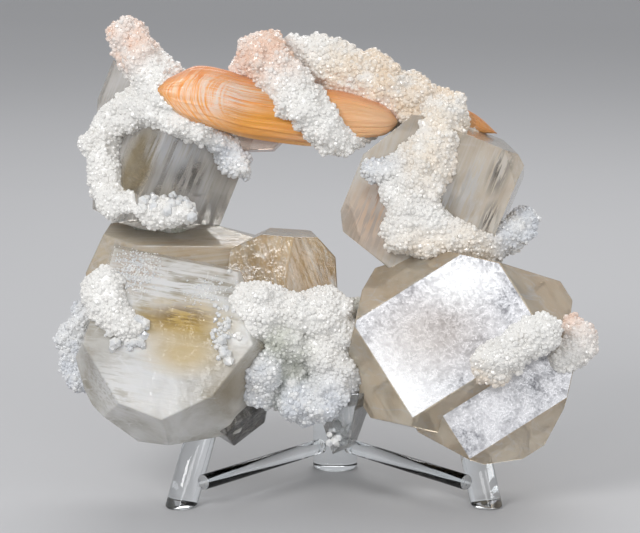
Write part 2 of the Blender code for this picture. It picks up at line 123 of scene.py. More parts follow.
# loose quartz
LOOSE_SEED = 8
LOOSE_SKEW = 2                      # above 1 there are more small crystals than large ones
SUNK = 0.15                         # share of its width that a small crystal sinks into a face
LOOSE_LEAN = 0.6                    # how far a crystal's axis strays from the line of sight
LOW_WIDTH = 0.5                     # a crystal's radii, height and tip, in shares of its width
HIGH_WIDTH = 0.46
TALL = 1.2
TIP_LEAST = 0.25
TIP_MOST = 0.45

# quartz druse
SKIN_CELL = 1.5 * MM
BALL_STEPS = 3                      # balls from one given ball of a lump to the next
BALL_SHARE = 0.86                   # share of a lump's radius that its balls have
KNOBS = 3                           # small knobs on each ball of a lump
KNOB_LEAST = 0.2                    # a knob's radius and reach, in shares of the lump's radius
KNOB_MOST = 0.36
KNOB_REACH = 1.08
SKIN_SMOOTHING = 0.35
SWELLS = ((120, 2.0), (300, 0.9))   # how close together a lump's swells are, and how high in mm
STAIN_AND_SHADE_BLEND = 2.0 * MM              # how softly one lump's colour passes into the next, painted shade included
DRUSE_DEPTH = 1.2 * MM              # how far the druse is sunk in a crystal
POINT_SEED = 3
POINT_KINDS = 5                     # how many shapes of small crystal the druse repeats
POINT_LOW_R = 0.85 * MM             # the blunt point's two radii and its height
POINT_HIGH_R = 0.8 * MM
POINT_TALL = 1.2 * MM
ROUND_GRAIN_R = 0.95 * MM
GRAIN_SPACING = 1.55 * MM
GRAIN_MOST_DENSE = 1200000.0        # to a square metre, before the spacing thins them
GRAIN_LEAST = 0.75                  # a grain's size, in shares of the point that it repeats
GRAIN_MOST = 1.75
GRAIN_SKEW = 1.8                    # above 1 there are more small grains than large ones
GRAIN_SINK = -0.2 * MM              # along the skin's outward normal
GRAIN_LEAN = 0.65                   # greatest lean of a grain, in radians
GRAIN_TWIST = 3.1                   # greatest turn of a grain about its own axis, in radians

# stilbite
SHEAF_SIDES = 96
SHEAF_RINGS = 80
SHEAF_THIN = 0.3                    # share of its depth that a sheaf keeps towards its tips
SHEAF_LEAST = 0.3                   # mm; least half height, at the tips
SHEAF_ROUND_UP = 0.8                # below 1 the section is fuller than an ellipse
SHEAF_ROUND_OUT = 0.6
SHEAF_CREASE = 50
RIDGES = 0.09                       # height of the ridges, as a share of the sheaf's thickness
RIDGE_SPACING = (5, 12, 2.5)        # how close together they are: in depth, in height and along

# the studio
FLOOR_REACH = 6.0
FLOOR_DROP = 0.2 * MM
FLOOR_TONE = (0.5, 0.5, 0.51)
ROOM_TONE = (0.80, 0.81, 0.83, 1)
ROOM_STRENGTH = 0.62
# where each lamp stands from the specimen's middle in metres, its width and height, and its watts
LAMPS = {
    "key": ((-0.55, -0.75, 0.65), (0.4, 0.4), 6),
    "fill": ((0.75, -0.65, 0.35), (0.3, 0.5), 1.6),
    "above_camera": ((0.05, -1.25, 0.55), (0.6, 0.22), 2.0),
    "rim": ((0.1, 0.7, 0.65), (0.9, 0.4), 3.5),
}

RIGHT = Vector((1, 0, 0))
UP = Vector((0, math.sin(VIEW_TILT), math.cos(VIEW_TILT)))
FORWARD = Vector((0, -math.cos(VIEW_TILT), math.sin(VIEW_TILT)))


def middle_of(node):
    """Middle of a CAD node's box."""
    low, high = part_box(node)
    return (Vector(low) + Vector(high)) / 2


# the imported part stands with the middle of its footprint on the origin, and the thick leg shows how
# far it moved
SHIFT = middle_of("leg_back") - Vector((BACK_FOOT[0] * MM, BACK_FOOT[1] * MM, 0))
SHIFT.z = 0


def seen(across, up, forward):
    """Point that the front view shows at (across, up), this far in front of the middle plane."""
    nearer = 1 - forward * MM / VIEW_DISTANCE
    flat = RIGHT * across + UP * up
    return Vector((0, 0, VIEW_HEIGHT)) + SHIFT + flat * MM * nearer + FORWARD * forward * MM


def heading(across, up, forward):
    """Direction given in the front view's own axes."""
    return (RIGHT * across + UP * up + FORWARD * forward).normalized()


def on_ground(foot, height=0.0):
    """Point above a leg's foot, which is given in mm."""
    return Vector((foot[0] * MM, foot[1] * MM, height)) + SHIFT


# shader parts

class Shading:
    """One material's node tree, with short calls for its nodes."""

    def __init__(self, tree):
        self.tree = tree

    def node(self, kind, settings=(), **values):
        made = self.tree.nodes.new(kind)
        for key, value in dict(settings).items():
            setattr(made, key, value)
        for key, value in values.items():
            self.feed(made.inputs[key.replace("_", " ")], value)
        return made

    def feed(self, socket, value):
        if isinstance(value, bpy.types.NodeSocket):
            self.tree.links.new(value, socket)
        else:
            socket.default_value = value

    def place(self):
        """Object coordinates."""
        return self.node("ShaderNodeTexCoord").outputs["Object"]

    def math(self, operation, first, second=0.0):
        made = self.tree.nodes.new("ShaderNodeMath")
        made.operation = operation
        self.feed(made.inputs[0], first)
        self.feed(made.inputs[1], second)
        return made.outputs[0]

    def ramp(self, value, low, high, start=0.0, end=1.0):
        """start below low, end above high, and a straight slope between them."""
        made = self.node("ShaderNodeMapRange", {"clamp": True}, Value=value, From_Min=low,
                         From_Max=high, To_Min=start, To_Max=end)
        return made.outputs["Result"]

    def mix(self, amount, one, two):
        made = self.node("ShaderNodeMix", {"data_type": "RGBA"})
        self.feed(made.inputs["Factor"], amount)
        for name, value in (("A", one), ("B", two)):
            socket = next(s for s in made.inputs if s.name == name and s.type == "RGBA")
            self.feed(socket, value if isinstance(value, bpy.types.NodeSocket) else (*value, 1))
        return next(s for s in made.outputs if s.type == "RGBA")

    def stretched(self, vector, scale):
        made = self.node("ShaderNodeVectorMath", {"operation": "MULTIPLY"})
        self.feed(made.inputs[0], vector)
        made.inputs[1].default_value = scale
        return made.outputs[0]

    def scaled(self, vector, scale):
        made = self.node("ShaderNodeVectorMath", {"operation": "SCALE"}, Scale=scale)
        self.feed(made.inputs[0], vector)
        return made.outputs[0]

    def noise(self, vector, scale, detail=3.0, roughness=0.55, distortion=0.0):
        """Clouds between 0 and 1, about this many to a metre of the vector."""
        made = self.node("ShaderNodeTexNoise", Vector=vector, Scale=scale, Detail=detail,
                         Roughness=roughness, Distortion=distortion)
        return made.outputs["Fac"]

    def cells(self, vector, scale, feature="F1"):
        made = self.node("ShaderNodeTexVoronoi", {"feature": feature}, Vector=vector, Scale=scale)
        return made.outputs["Distance"]

    def patch(self, middle, reach, lean=0, soft=0.6):
        """1 inside an ellipsoid given by its middle and reach in front-view mm, 0 outside.

        lean turns it about the line of sight, in degrees to the right.
        """
        turn = Matrix.Rotation(math.radians(lean), 3, -FORWARD)
        axes = Matrix((turn @ RIGHT, turn @ UP, FORWARD)).transposed()
        own = self.node("ShaderNodeMapping", {"vector_type": "TEXTURE"}, Vector=self.place(),
                        Location=seen(*middle), Rotation=axes.to_euler(), Scale=Vector(reach) * MM)
        far = self.node("ShaderNodeVectorMath", {"operation": "LENGTH"}, Vector=own.outputs[0])
        return self.ramp(far.outputs["Value"], 1 - soft, 1 + soft, 1.0, 0.0)

    def times(self, *factors):
        product = factors[0]
        for factor in factors[1:]:
            product = self.math("MULTIPLY", product, factor)
        return product

    def group(self, group, **values):
        return self.node("ShaderNodeGroup", {"node_tree": group}, **values).outputs


def linear(red, green, blue):
    """Colour given as an sRGB value from 0 to 255."""
    def one(value):
        value /= 255
        return value / 12.92 if value <= 0.04045 else ((value + 0.055) / 1.055) ** 2.4
    return (one(red), one(green), one(blue))


def new_group(name, inputs, outputs):
    tree = bpy.data.node_groups.new(name, "ShaderNodeTree")
    for label, kind, value in inputs:
        socket = tree.interface.new_socket(label, in_out="INPUT", socket_type=kind)
        if value is not None:
            socket.default_value = value
    for label, kind in outputs:
        tree.interface.new_socket(label, in_out="OUTPUT", socket_type=kind)
    made = Shading(tree)
    return made, made.node("NodeGroupInput").outputs, made.node("NodeGroupOutput").inputs


VALUE = "NodeSocketFloat"
VECTOR = "NodeSocketVector"


def growth_lines_group():
    """Fine lines parallel to the long axis, which is z in the crystal's own coordinates."""
    part, given, result = new_group(
        "growth lines", [("Vector", VECTOR, None), ("Fineness", VALUE, 1.0)],
        [("Height", VALUE), ("Tone", VALUE), ("Band", VALUE), ("Streak", VALUE)])
    vector = part.scaled(given["Vector"], given["Fineness"])

    def lines(across, along, **look):
        return part.noise(part.stretched(vector, (across, across, along)), 1.0, **look)

    fine = lines(1100, 18, detail=2)
    broad = lines(240, 7, detail=3)
    part.feed(result["Height"], part.math("ADD", part.math("MULTIPLY", fine, 0.35), broad))
    mixed = part.math("ADD", part.math("MULTIPLY", fine, 0.5), part.math("MULTIPLY", broad, 0.5))
    part.feed(result["Tone"], part.ramp(mixed, 0.46, 0.62))
    part.feed(result["Band"], part.ramp(lines(150, 4, detail=4, roughness=0.65), 0.50, 0.60))
    part.feed(result["Streak"], part.ramp(lines(620, 60, detail=3, roughness=0.6), 0.46, 0.52))
    return part.tree


def etched_group():
    """Pits, specks and shallow terraces of a flat end."""
    part, given, result = new_group(
        "etched end", [("Vector", VECTOR, None)],
        [("Height", VALUE), ("Speck", VALUE), ("Zone", VALUE)])
    vector = given["Vector"]
    grit = part.noise(vector, 1100, detail=4, roughness=0.8)
    blotch = part.noise(vector, 420, detail=4, roughness=0.7)
    zone = part.noise(vector, 70, detail=4, roughness=0.6)
    grain = part.math("ADD", part.math("MULTIPLY", grit, 0.5), part.math("MULTIPLY", blotch, 0.5))
    part.feed(result["Speck"], part.ramp(grain, 0.48, 0.57))
    part.feed(result["Zone"], part.ramp(zone, 0.40, 0.62))
    terrace = part.math("SNAP", zone, 0.04)
    part.feed(result["Height"], part.math("ADD", grain, part.math("MULTIPLY", terrace, 1.5)))
    return part.tree


def veils_group():
    """Soft clouds, healed cracks and bright specks inside a clear crystal."""
    part, given, result = new_group(
        "veils", [("Vector", VECTOR, None), ("Scale", VALUE, 1.0)],
        [("Cloud", VALUE), ("Wisp", VALUE), ("Crack", VALUE), ("Speck", VALUE)])
    vector = part.scaled(given["Vector"], given["Scale"])
    cloud = part.noise(vector, 26, detail=4, roughness=0.5, distortion=0.8)
    part.feed(result["Cloud"], part.ramp(cloud, 0.38, 0.62))
    drawn = part.stretched(vector, (1, 2.4, 0.7))
    wisp = part.noise(drawn, 70, detail=6, roughness=0.65, distortion=1.5)
    part.feed(result["Wisp"], part.ramp(wisp, 0.52, 0.70))
    shifted = part.node("ShaderNodeVectorMath", {"operation": "MULTIPLY_ADD"})
    bend = (0.012, 0.012, 0.012)
    for socket, value in zip(shifted.inputs, (part.noise(vector, 60, detail=2), bend, vector)):
        part.feed(socket, value)
    crack = part.cells(shifted.outputs[0], 34, feature="DISTANCE_TO_EDGE")
    faded = part.ramp(part.noise(vector, 80, detail=2), 0.5, 0.62)
    part.feed(result["Crack"], part.math("MULTIPLY", part.ramp(crack, 0.0, 0.03, 1.0, 0.0), faded))
    part.feed(result["Speck"], part.ramp(part.cells(vector, 420), 0.06, 0.16, 1.0, 0.0))
    return part.tree


GROWTH_LINES = growth_lines_group()
ETCHED = etched_group()
VEILS = veils_group()


def new_material(name, **dials):
    """A material and its shader; the dials are the shader's own inputs, by name."""
    made = bpy.data.materials.new(name)
    made.use_nodes = True
    shader = made.node_tree.nodes["Principled BSDF"]
    shader.inputs["Metallic"].default_value = 0
    for key, value in dials.items():
        shader.inputs[key.replace("_", " ")].default_value = value
    return made, Shading(made.node_tree), shader


def own_coordinates(shading, along, first):
    """Object coordinates, turned: z runs along the crystal and x along its first face's normal."""
    z = heading(*along)
    face = heading(*first)
    x = (face - z * face.dot(z)).normalized()
    turn = Matrix((x, z.cross(x), z)).transposed()
    turned = shading.node("ShaderNodeMapping", {"vector_type": "TEXTURE"}, Vector=shading.place(),
                          Rotation=turn.to_euler())
    return turned.outputs[0]


def bump(shading, shader, height, depth):
    made = shading.node("ShaderNodeBump", Height=height, Distance=depth, Strength=1.0)
    shading.feed(shader.inputs["Normal"], made.outputs[0])


def coloured(shading, body, layers):
    """The body colour with (mask, strength, colour) layers over it."""
    for mask, strength, colour in layers:
        body = shading.mix(shading.math("MULTIPLY", mask, strength), body, colour)
    return body


def stained_and_lit(shading, body, stains_and_light):
    """The body colour with (colour, strength) and what patch takes laid over it: tints and painted
    light.
    """
    return coloured(shading, body, [(shading.patch(*shape), strength, colour)
                                    for colour, strength, *shape in stains_and_light])


WHITE = linear(248, 247, 244)
SILVER = linear(226, 226, 229)
DULL_SILVER = linear(196, 197, 201)
PIT = linear(112, 112, 118)
APOPHYLLITE_IOR = 1.536
PEARLY_IOR = 1.54
QUARTZ_IOR = 1.544
STILBITE_IOR = 1.5
ACRYLIC_IOR = 1.49


def glassy_side(name, along, first, deep, pale, transmission=0.65, roughness=0.05, lines=0.2,
                line_depth=0.05 * MM, veils=1.0, crack=0.3, bands=0.0, stains_and_light=(), streaks=()):
    """Clear prism or pyramid face: soft clouds inside, growth lines along it, a few healed cracks.

    lines is how strongly the growth lines show, bands how dark the broad bands beside them are.
    Each patch laid over the body is (colour, strength) and what patch takes: the crystal's own tints,
    and on two crystals painted light, a painted glow in the milky crystal and painted light on the
    tan top; streaks are such patches broken into fine lines.
    """
    made, shading, shader = new_material(
        name, Roughness=roughness, IOR=APOPHYLLITE_IOR, Transmission_Weight=transmission,
        Subsurface_Weight=0.15, Subsurface_Radius=(1.0, 0.85, 0.7), Subsurface_Scale=4 * MM)
    own = own_coordinates(shading, along, first)
    grown = shading.group(GROWTH_LINES, Vector=own, Fineness=1.0)
    inside = shading.group(VEILS, Vector=own, Scale=veils)
    body = coloured(shading, shading.mix(inside["Cloud"], deep, pale), [
        (inside["Wisp"], 0.75, WHITE),
        (grown["Band"], bands, [part * 0.35 for part in deep]),
        (grown["Tone"], lines, WHITE),
        (inside["Crack"], crack, WHITE),
        (inside["Speck"], 0.4, WHITE)])
    body = stained_and_lit(shading, body, stains_and_light)
    for colour, strength, *shape in streaks:
        spread = shading.times(shading.patch(*shape), grown["Streak"], strength)
        body = shading.mix(spread, body, colour)
    shading.feed(shader.inputs["Base Color"], body)
    rough = shading.ramp(grown["Tone"], 0, 1, roughness, roughness + 0.1)
    shading.feed(shader.inputs["Roughness"], rough)
    swell = shading.noise(shading.place(), 110, detail=3, roughness=0.6)
    swell = shading.math("MULTIPLY", swell, UNEVEN / line_depth)
    bump(shading, shader, shading.math("ADD", grown["Height"], swell), line_depth)
    return made


def pearly_end(name, along, first, stains_and_light=()):
    """Flat end with its silvery pearly lustre, pits and terraces, and painted highlights among the
    patches laid over it.
    """
    made, shading, shader = new_material(name, Roughness=0.26, IOR=PEARLY_IOR, Metallic=0.45,
                                         Coat_Weight=0.25, Coat_Roughness=0.1)
    etched = shading.group(ETCHED, Vector=own_coordinates(shading, along, first))
    pitted = shading.ramp(etched["Zone"], 0, 1, 0.35, 0.95)
    body = coloured(shading, SILVER, [(etched["Zone"], 0.75, DULL_SILVER),
                                      (etched["Speck"], pitted, PIT)])
    body = stained_and_lit(shading, body, stains_and_light)
    shading.feed(shader.inputs["Base Color"], body)
    shading.feed(shader.inputs["Roughness"], shading.ramp(etched["Speck"], 0, 1, 0.26, 0.45))
    bump(shading, shader, etched["Height"], 0.12 * MM)
    return made


def druse_finish():
    """Icy quartz grains, coloured as their lump is, blue grey where it is painted shade, some of them
    whiter than the rest.
    """
    made, shading, shader = new_material("quartz_druse", Roughness=0.12, IOR=QUARTZ_IOR,
                                         Transmission_Weight=0.14)
    place = shading.place()
    stain = shading.node("ShaderNodeAttribute", {"attribute_name": "stain"})
    tone = shading.node("ShaderNodeAttribute", {"attribute_name": "tone"})
    blotch = shading.ramp(shading.noise(place, 90, detail=3), 0.42, 0.62)
    body = coloured(shading, stain.outputs["Color"], [(blotch, 0.6, WHITE)])
    body = shading.mix(shading.ramp(tone.outputs["Fac"], 0.5, 1.0, 0.0, 0.6), body, WHITE)
    frost = shading.ramp(shading.noise(place, 1400, detail=2), 0.4, 0.7, 0.06, 0.35)
    shading.feed(shader.inputs["Base Color"], body)
    shading.feed(shader.inputs["Roughness"], frost)
    bump(shading, shader, shading.noise(place, 1800, detail=2), 0.06 * MM)
    return made


def veil_finish():
    """Thin white films with holes, as of tiny bubbles in a healed crack."""
    made, shading, shader = new_material("inner_veil", Roughness=0.4, IOR=1.3)
    place = shading.place()
    broad = shading.ramp(shading.noise(place, 55, detail=3, roughness=0.5), 0.46, 0.66)
    fine = shading.ramp(shading.noise(place, 600, detail=3, roughness=0.7), 0.40, 0.62)
    shading.feed(shader.inputs["Base Color"], shading.mix(fine, linear(232, 224, 212), WHITE))
    shading.feed(shader.inputs["Alpha"], shading.times(broad, shading.ramp(fine, 0, 1, 0.25, 0.75)))
    return made


def clear_quartz_finish():
    """Clear crystals with a little frost and a few dark specks."""
    made, shading, shader = new_material("clear_quartz", Roughness=0.04, IOR=QUARTZ_IOR,
                                         Transmission_Weight=0.2)
    place = shading.place()
    cloud = shading.ramp(shading.noise(place, 220, detail=3), 0.4, 0.6)
    body = shading.mix(cloud, linear(232, 234, 236), WHITE)
    speck = shading.ramp(shading.cells(place, 700), 0.05, 0.14, 0.7, 0.0)
    shading.feed(shader.inputs["Base Color"], shading.mix(speck, body, linear(96, 84, 70)))
    shading.feed(shader.inputs["Roughness"], shading.ramp(cloud, 0, 1, 0.03, 0.16))
    bump(shading, shader, shading.noise(place, 500, detail=2), 0.08 * MM)
    return made


def stilbite_finish():
    """Pearly orange blades: fibres along the sheaf, arched growth lines near its blunt end.

    The piece's own coordinates run along it (x, 0 to 1) and across it (y, -1 to 1).
    """
    made, shading, shader = new_material(
        "stilbite", Roughness=0.3, IOR=STILBITE_IOR, Transmission_Weight=0.05, Coat_Weight=0.35,
        Coat_Roughness=0.15, Subsurface_Weight=0.25, Subsurface_Radius=(1.0, 0.5, 0.25),
        Subsurface_Scale=2 * MM)
    own = shading.node("ShaderNodeUVMap", {"uv_map": "sheaf"}).outputs[0]
    split = shading.node("ShaderNodeSeparateXYZ", Vector=own)
    along, across = split.outputs["X"], split.outputs["Y"]
    bend = shading.times(across, across, 0.13)
    arch = shading.node("ShaderNodeCombineXYZ", X=shading.math("SUBTRACT", along, bend),
                        Y=shading.math("MULTIPLY", across, 0.02))
    arches = shading.noise(shading.stretched(arch.outputs[0], (60, 30, 0)), 1.0, detail=4,
                           roughness=0.7)
    fibres = shading.noise(shading.stretched(own, (5, 34, 0)), 1.0, detail=5, roughness=0.75)
    blunt = shading.ramp(along, 0.28, 0.46, 1.0, 0.0)
    lines = shading.math("ADD", shading.times(arches, blunt),
                         shading.times(fibres, shading.math("SUBTRACT", 1.0, blunt)))
    lined = shading.ramp(lines, 0.38, 0.62)
    glow = shading.noise(shading.stretched(own, (5, 1.6, 0)), 1.0, detail=2)
    # painted highlight: a pale pearly sheen painted where the lamps reflect off the front of the long
    # sheaf
    painted_sheen = shading.patch((-41, 70, 26), (14, 8, 16), 0, 0.9)
    ember = shading.patch((-25, 61, 22), (16, 5, 16), -8, 0.8)
    faded = shading.patch((24, 61, 20), (14, 10, 16), 0, 0.8)
    body = shading.mix(lined, linear(244, 148, 72), linear(255, 216, 168))
    body = coloured(shading, body, [
        (shading.ramp(glow, 0.40, 0.60), 0.75, linear(255, 176, 88)),
        (painted_sheen, shading.ramp(lines, 0.44, 0.54), linear(250, 232, 222)),
        (ember, 0.8, linear(255, 172, 56)),
        (faded, 0.7, linear(255, 208, 166)),
        (shading.ramp(across, 0.55, 0.95), 0.7, linear(222, 138, 86))])
    shading.feed(shader.inputs["Base Color"], body)
    shading.feed(shader.inputs["Roughness"], shading.ramp(lined, 0, 1, 0.42, 0.24))
    bump(shading, shader, lines, 0.8 * MM)
    return made


def sawn_finish():
    """Cut ends of the rods, slightly milky from the saw."""
    made, shading, shader = new_material("sawn_end", Roughness=0.3, IOR=ACRYLIC_IOR,
                                         Transmission_Weight=0.6)
    score = shading.ramp(shading.noise(shading.place(), 900, detail=3), 0.35, 0.7)
    shading.feed(shader.inputs["Base Color"], shading.mix(score, linear(222, 225, 230), WHITE))
    shading.feed(shader.inputs["Roughness"], shading.ramp(score, 0, 1, 0.25, 0.5))
    return made


def acrylic_finish():
    """Polished clear rod with a few dull scuffs."""
    made, shading, shader = new_material("clear_acrylic", Roughness=0.015, IOR=ACRYLIC_IOR,
                                         Transmission_Weight=1.0)
    place = shading.place()
    scuff = shading.ramp(shading.noise(place, 260, detail=5), 0.5, 0.75, 0.01, 0.09)
    cloud = shading.ramp(shading.noise(place, 30), 0.3, 0.7)
    tint = shading.mix(cloud, linear(252, 253, 255), linear(246, 250, 252))
    shading.feed(shader.inputs["Base Color"], tint)
    shading.feed(shader.inputs["Roughness"], scuff)
    return made


# objects

def new_object(name, bm, *finishes, smooth_under=None):
    mesh = bpy.data.meshes.new(name)
    bm.to_mesh(mesh)
    bm.free()
    for finish in finishes:
        mesh.materials.append(finish)
    if smooth_under:
        mesh.shade_smooth()
        mesh.set_sharp_from_angle(angle=math.radians(smooth_under))
    made = bpy.data.objects.new(name, mesh)
    bpy.context.scene.collection.objects.link(made)
    return made


def settled(thing, name, smooth_under=None):
    """The object with its modifiers applied, as a new object with the same finishes."""
    bpy.context.view_layer.update()
    shape = thing.evaluated_get(bpy.context.evaluated_depsgraph_get())
    mesh = bpy.data.meshes.new_from_object(shape)
    mesh.name = name
    bpy.data.objects.remove(thing, do_unlink=True)
    if smooth_under:
        mesh.shade_smooth()
        mesh.set_sharp_from_angle(angle=math.radians(smooth_under))
    made = bpy.data.objects.new(name, mesh)
    bpy.context.scene.collection.objects.link(made)
    return made


def corners_of(thing):
    bpy.context.view_layer.update()
    points = [Vector(corner) for corner in thing.bound_box]
    return min(points, key=sum), max(points, key=sum)


def cut_away(thing, shape, smooth_under=None):
    """The object less a closed shape, or as it is where the shape's box is clear of it."""
    cutter = new_object("cutter", shape)
    low, high = corners_of(thing)
    cutter_low, cutter_high = corners_of(cutter)
    if all(high[k] >= cutter_low[k] and low[k] <= cutter_high[k] for k in range(3)):
        cut = thing.modifiers.new("cut", "BOOLEAN")
        cut.operation = "DIFFERENCE"
        cut.object = cutter
        thing = settled(thing, thing.name, smooth_under)
    bpy.data.objects.remove(cutter, do_unlink=True)
    return thing


def belongs(piece, slot, *nodes):
    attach(piece, "root")
    if nodes:
        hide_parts(*nodes)
    return piece


# crystals

def everything(bm):
    return bm.verts[:] + bm.edges[:] + bm.faces[:]


def keep_behind(bm, point, normal):
    """Cuts the closed shape with a plane, keeps what lies behind it and closes the cut."""
    cut = bmesh.ops.bisect_plane(bm, geom=everything(bm), dist=ON_PLANE, plane_co=point,
                                 plane_no=normal, clear_outer=True)
    rim = [piece for piece in cut["geom_cut"] if isinstance(piece, bmesh.types.BMEdge)]
    if len(rim) > 2:
        bmesh.ops.contextual_create(bm, geom=rim)


def cut_block(planes, grow=0.0):
    """Convex crystal left when a block is cut by all its faces; grow moves every face outwards."""
    bm = bmesh.new()
    bmesh.ops.create_cube(bm, size=BLOCK)
    bmesh.ops.translate(bm, vec=seen(0, 0, 0), verts=bm.verts[:])
    for point, normal in planes:
        keep_behind(bm, point + normal * grow, normal)
    bmesh.ops.remove_doubles(bm, verts=bm.verts[:], dist=SAME_CORNER)
    bmesh.ops.recalc_face_normals(bm, faces=bm.faces[:])
    return bm


def crystal_planes(end, axis, face, ends, sides, length, far_ends, cuts=()):
    """Faces of one crystal: flat ends, four prism faces, four pyramid faces at each end.

    end is the middle of its near flat end and axis the long axis there, outwards. face is the
    way that its first prism face looks. ends holds how far the flat end reaches to each of its
    four pyramid edges, sides how far the four prism faces are from the axis, and far_ends the
    reach at the other end. cuts are further faces, each a point and the way that it looks.
    """
    top = seen(*end)
    along = heading(*axis)
    first = heading(*face)
    first = (first - along * first.dot(along)).normalized()
    second = along.cross(first)
    bottom = top - along * length * MM
    planes = [(top, along), (bottom, -along)]
    for turn in range(4):
        angle = math.radians(90 * turn)
        prism = first * math.cos(angle) + second * math.sin(angle)
        planes.append((top + prism * sides[turn] * MM, prism))
        angle += math.radians(45)
        out = first * math.cos(angle) + second * math.sin(angle)
        near = out * math.sin(PYRAMID) + along * math.cos(PYRAMID)
        planes.append((top + out * ends[turn] * MM, near))
        far = out * math.sin(PYRAMID) - along * math.cos(PYRAMID)
        planes.append((bottom + out * far_ends[turn] * MM, far))
    planes += faces_seen(cuts)
    return planes


def faces_seen(faces):
    return [(seen(*point), heading(*normal)) for point, normal in faces]


# long axes, and the ways that faces look, as (across, up, forward)
LOWER_RIGHT_AXIS = (0, 0.05, 1)
LOWER_RIGHT_FACE = (0.975, -0.2215, 0)
UPPER_RIGHT_AXIS = (0.375, 0.927, 0.14)
UPPER_RIGHT_FACE = (-0.087, 0.02, 1)
UPPER_LEFT_AXIS = (0.375, 0.927, 0.06)
UPPER_LEFT_FACE = (0.571, -0.231, 0.788)
MILKY_FACE = (-0.06, 0.16, 0.985)
BACK_AXIS = (0.08, 0.10, -1)
BACK_FACE = (0.98, 0.16, 0.1)

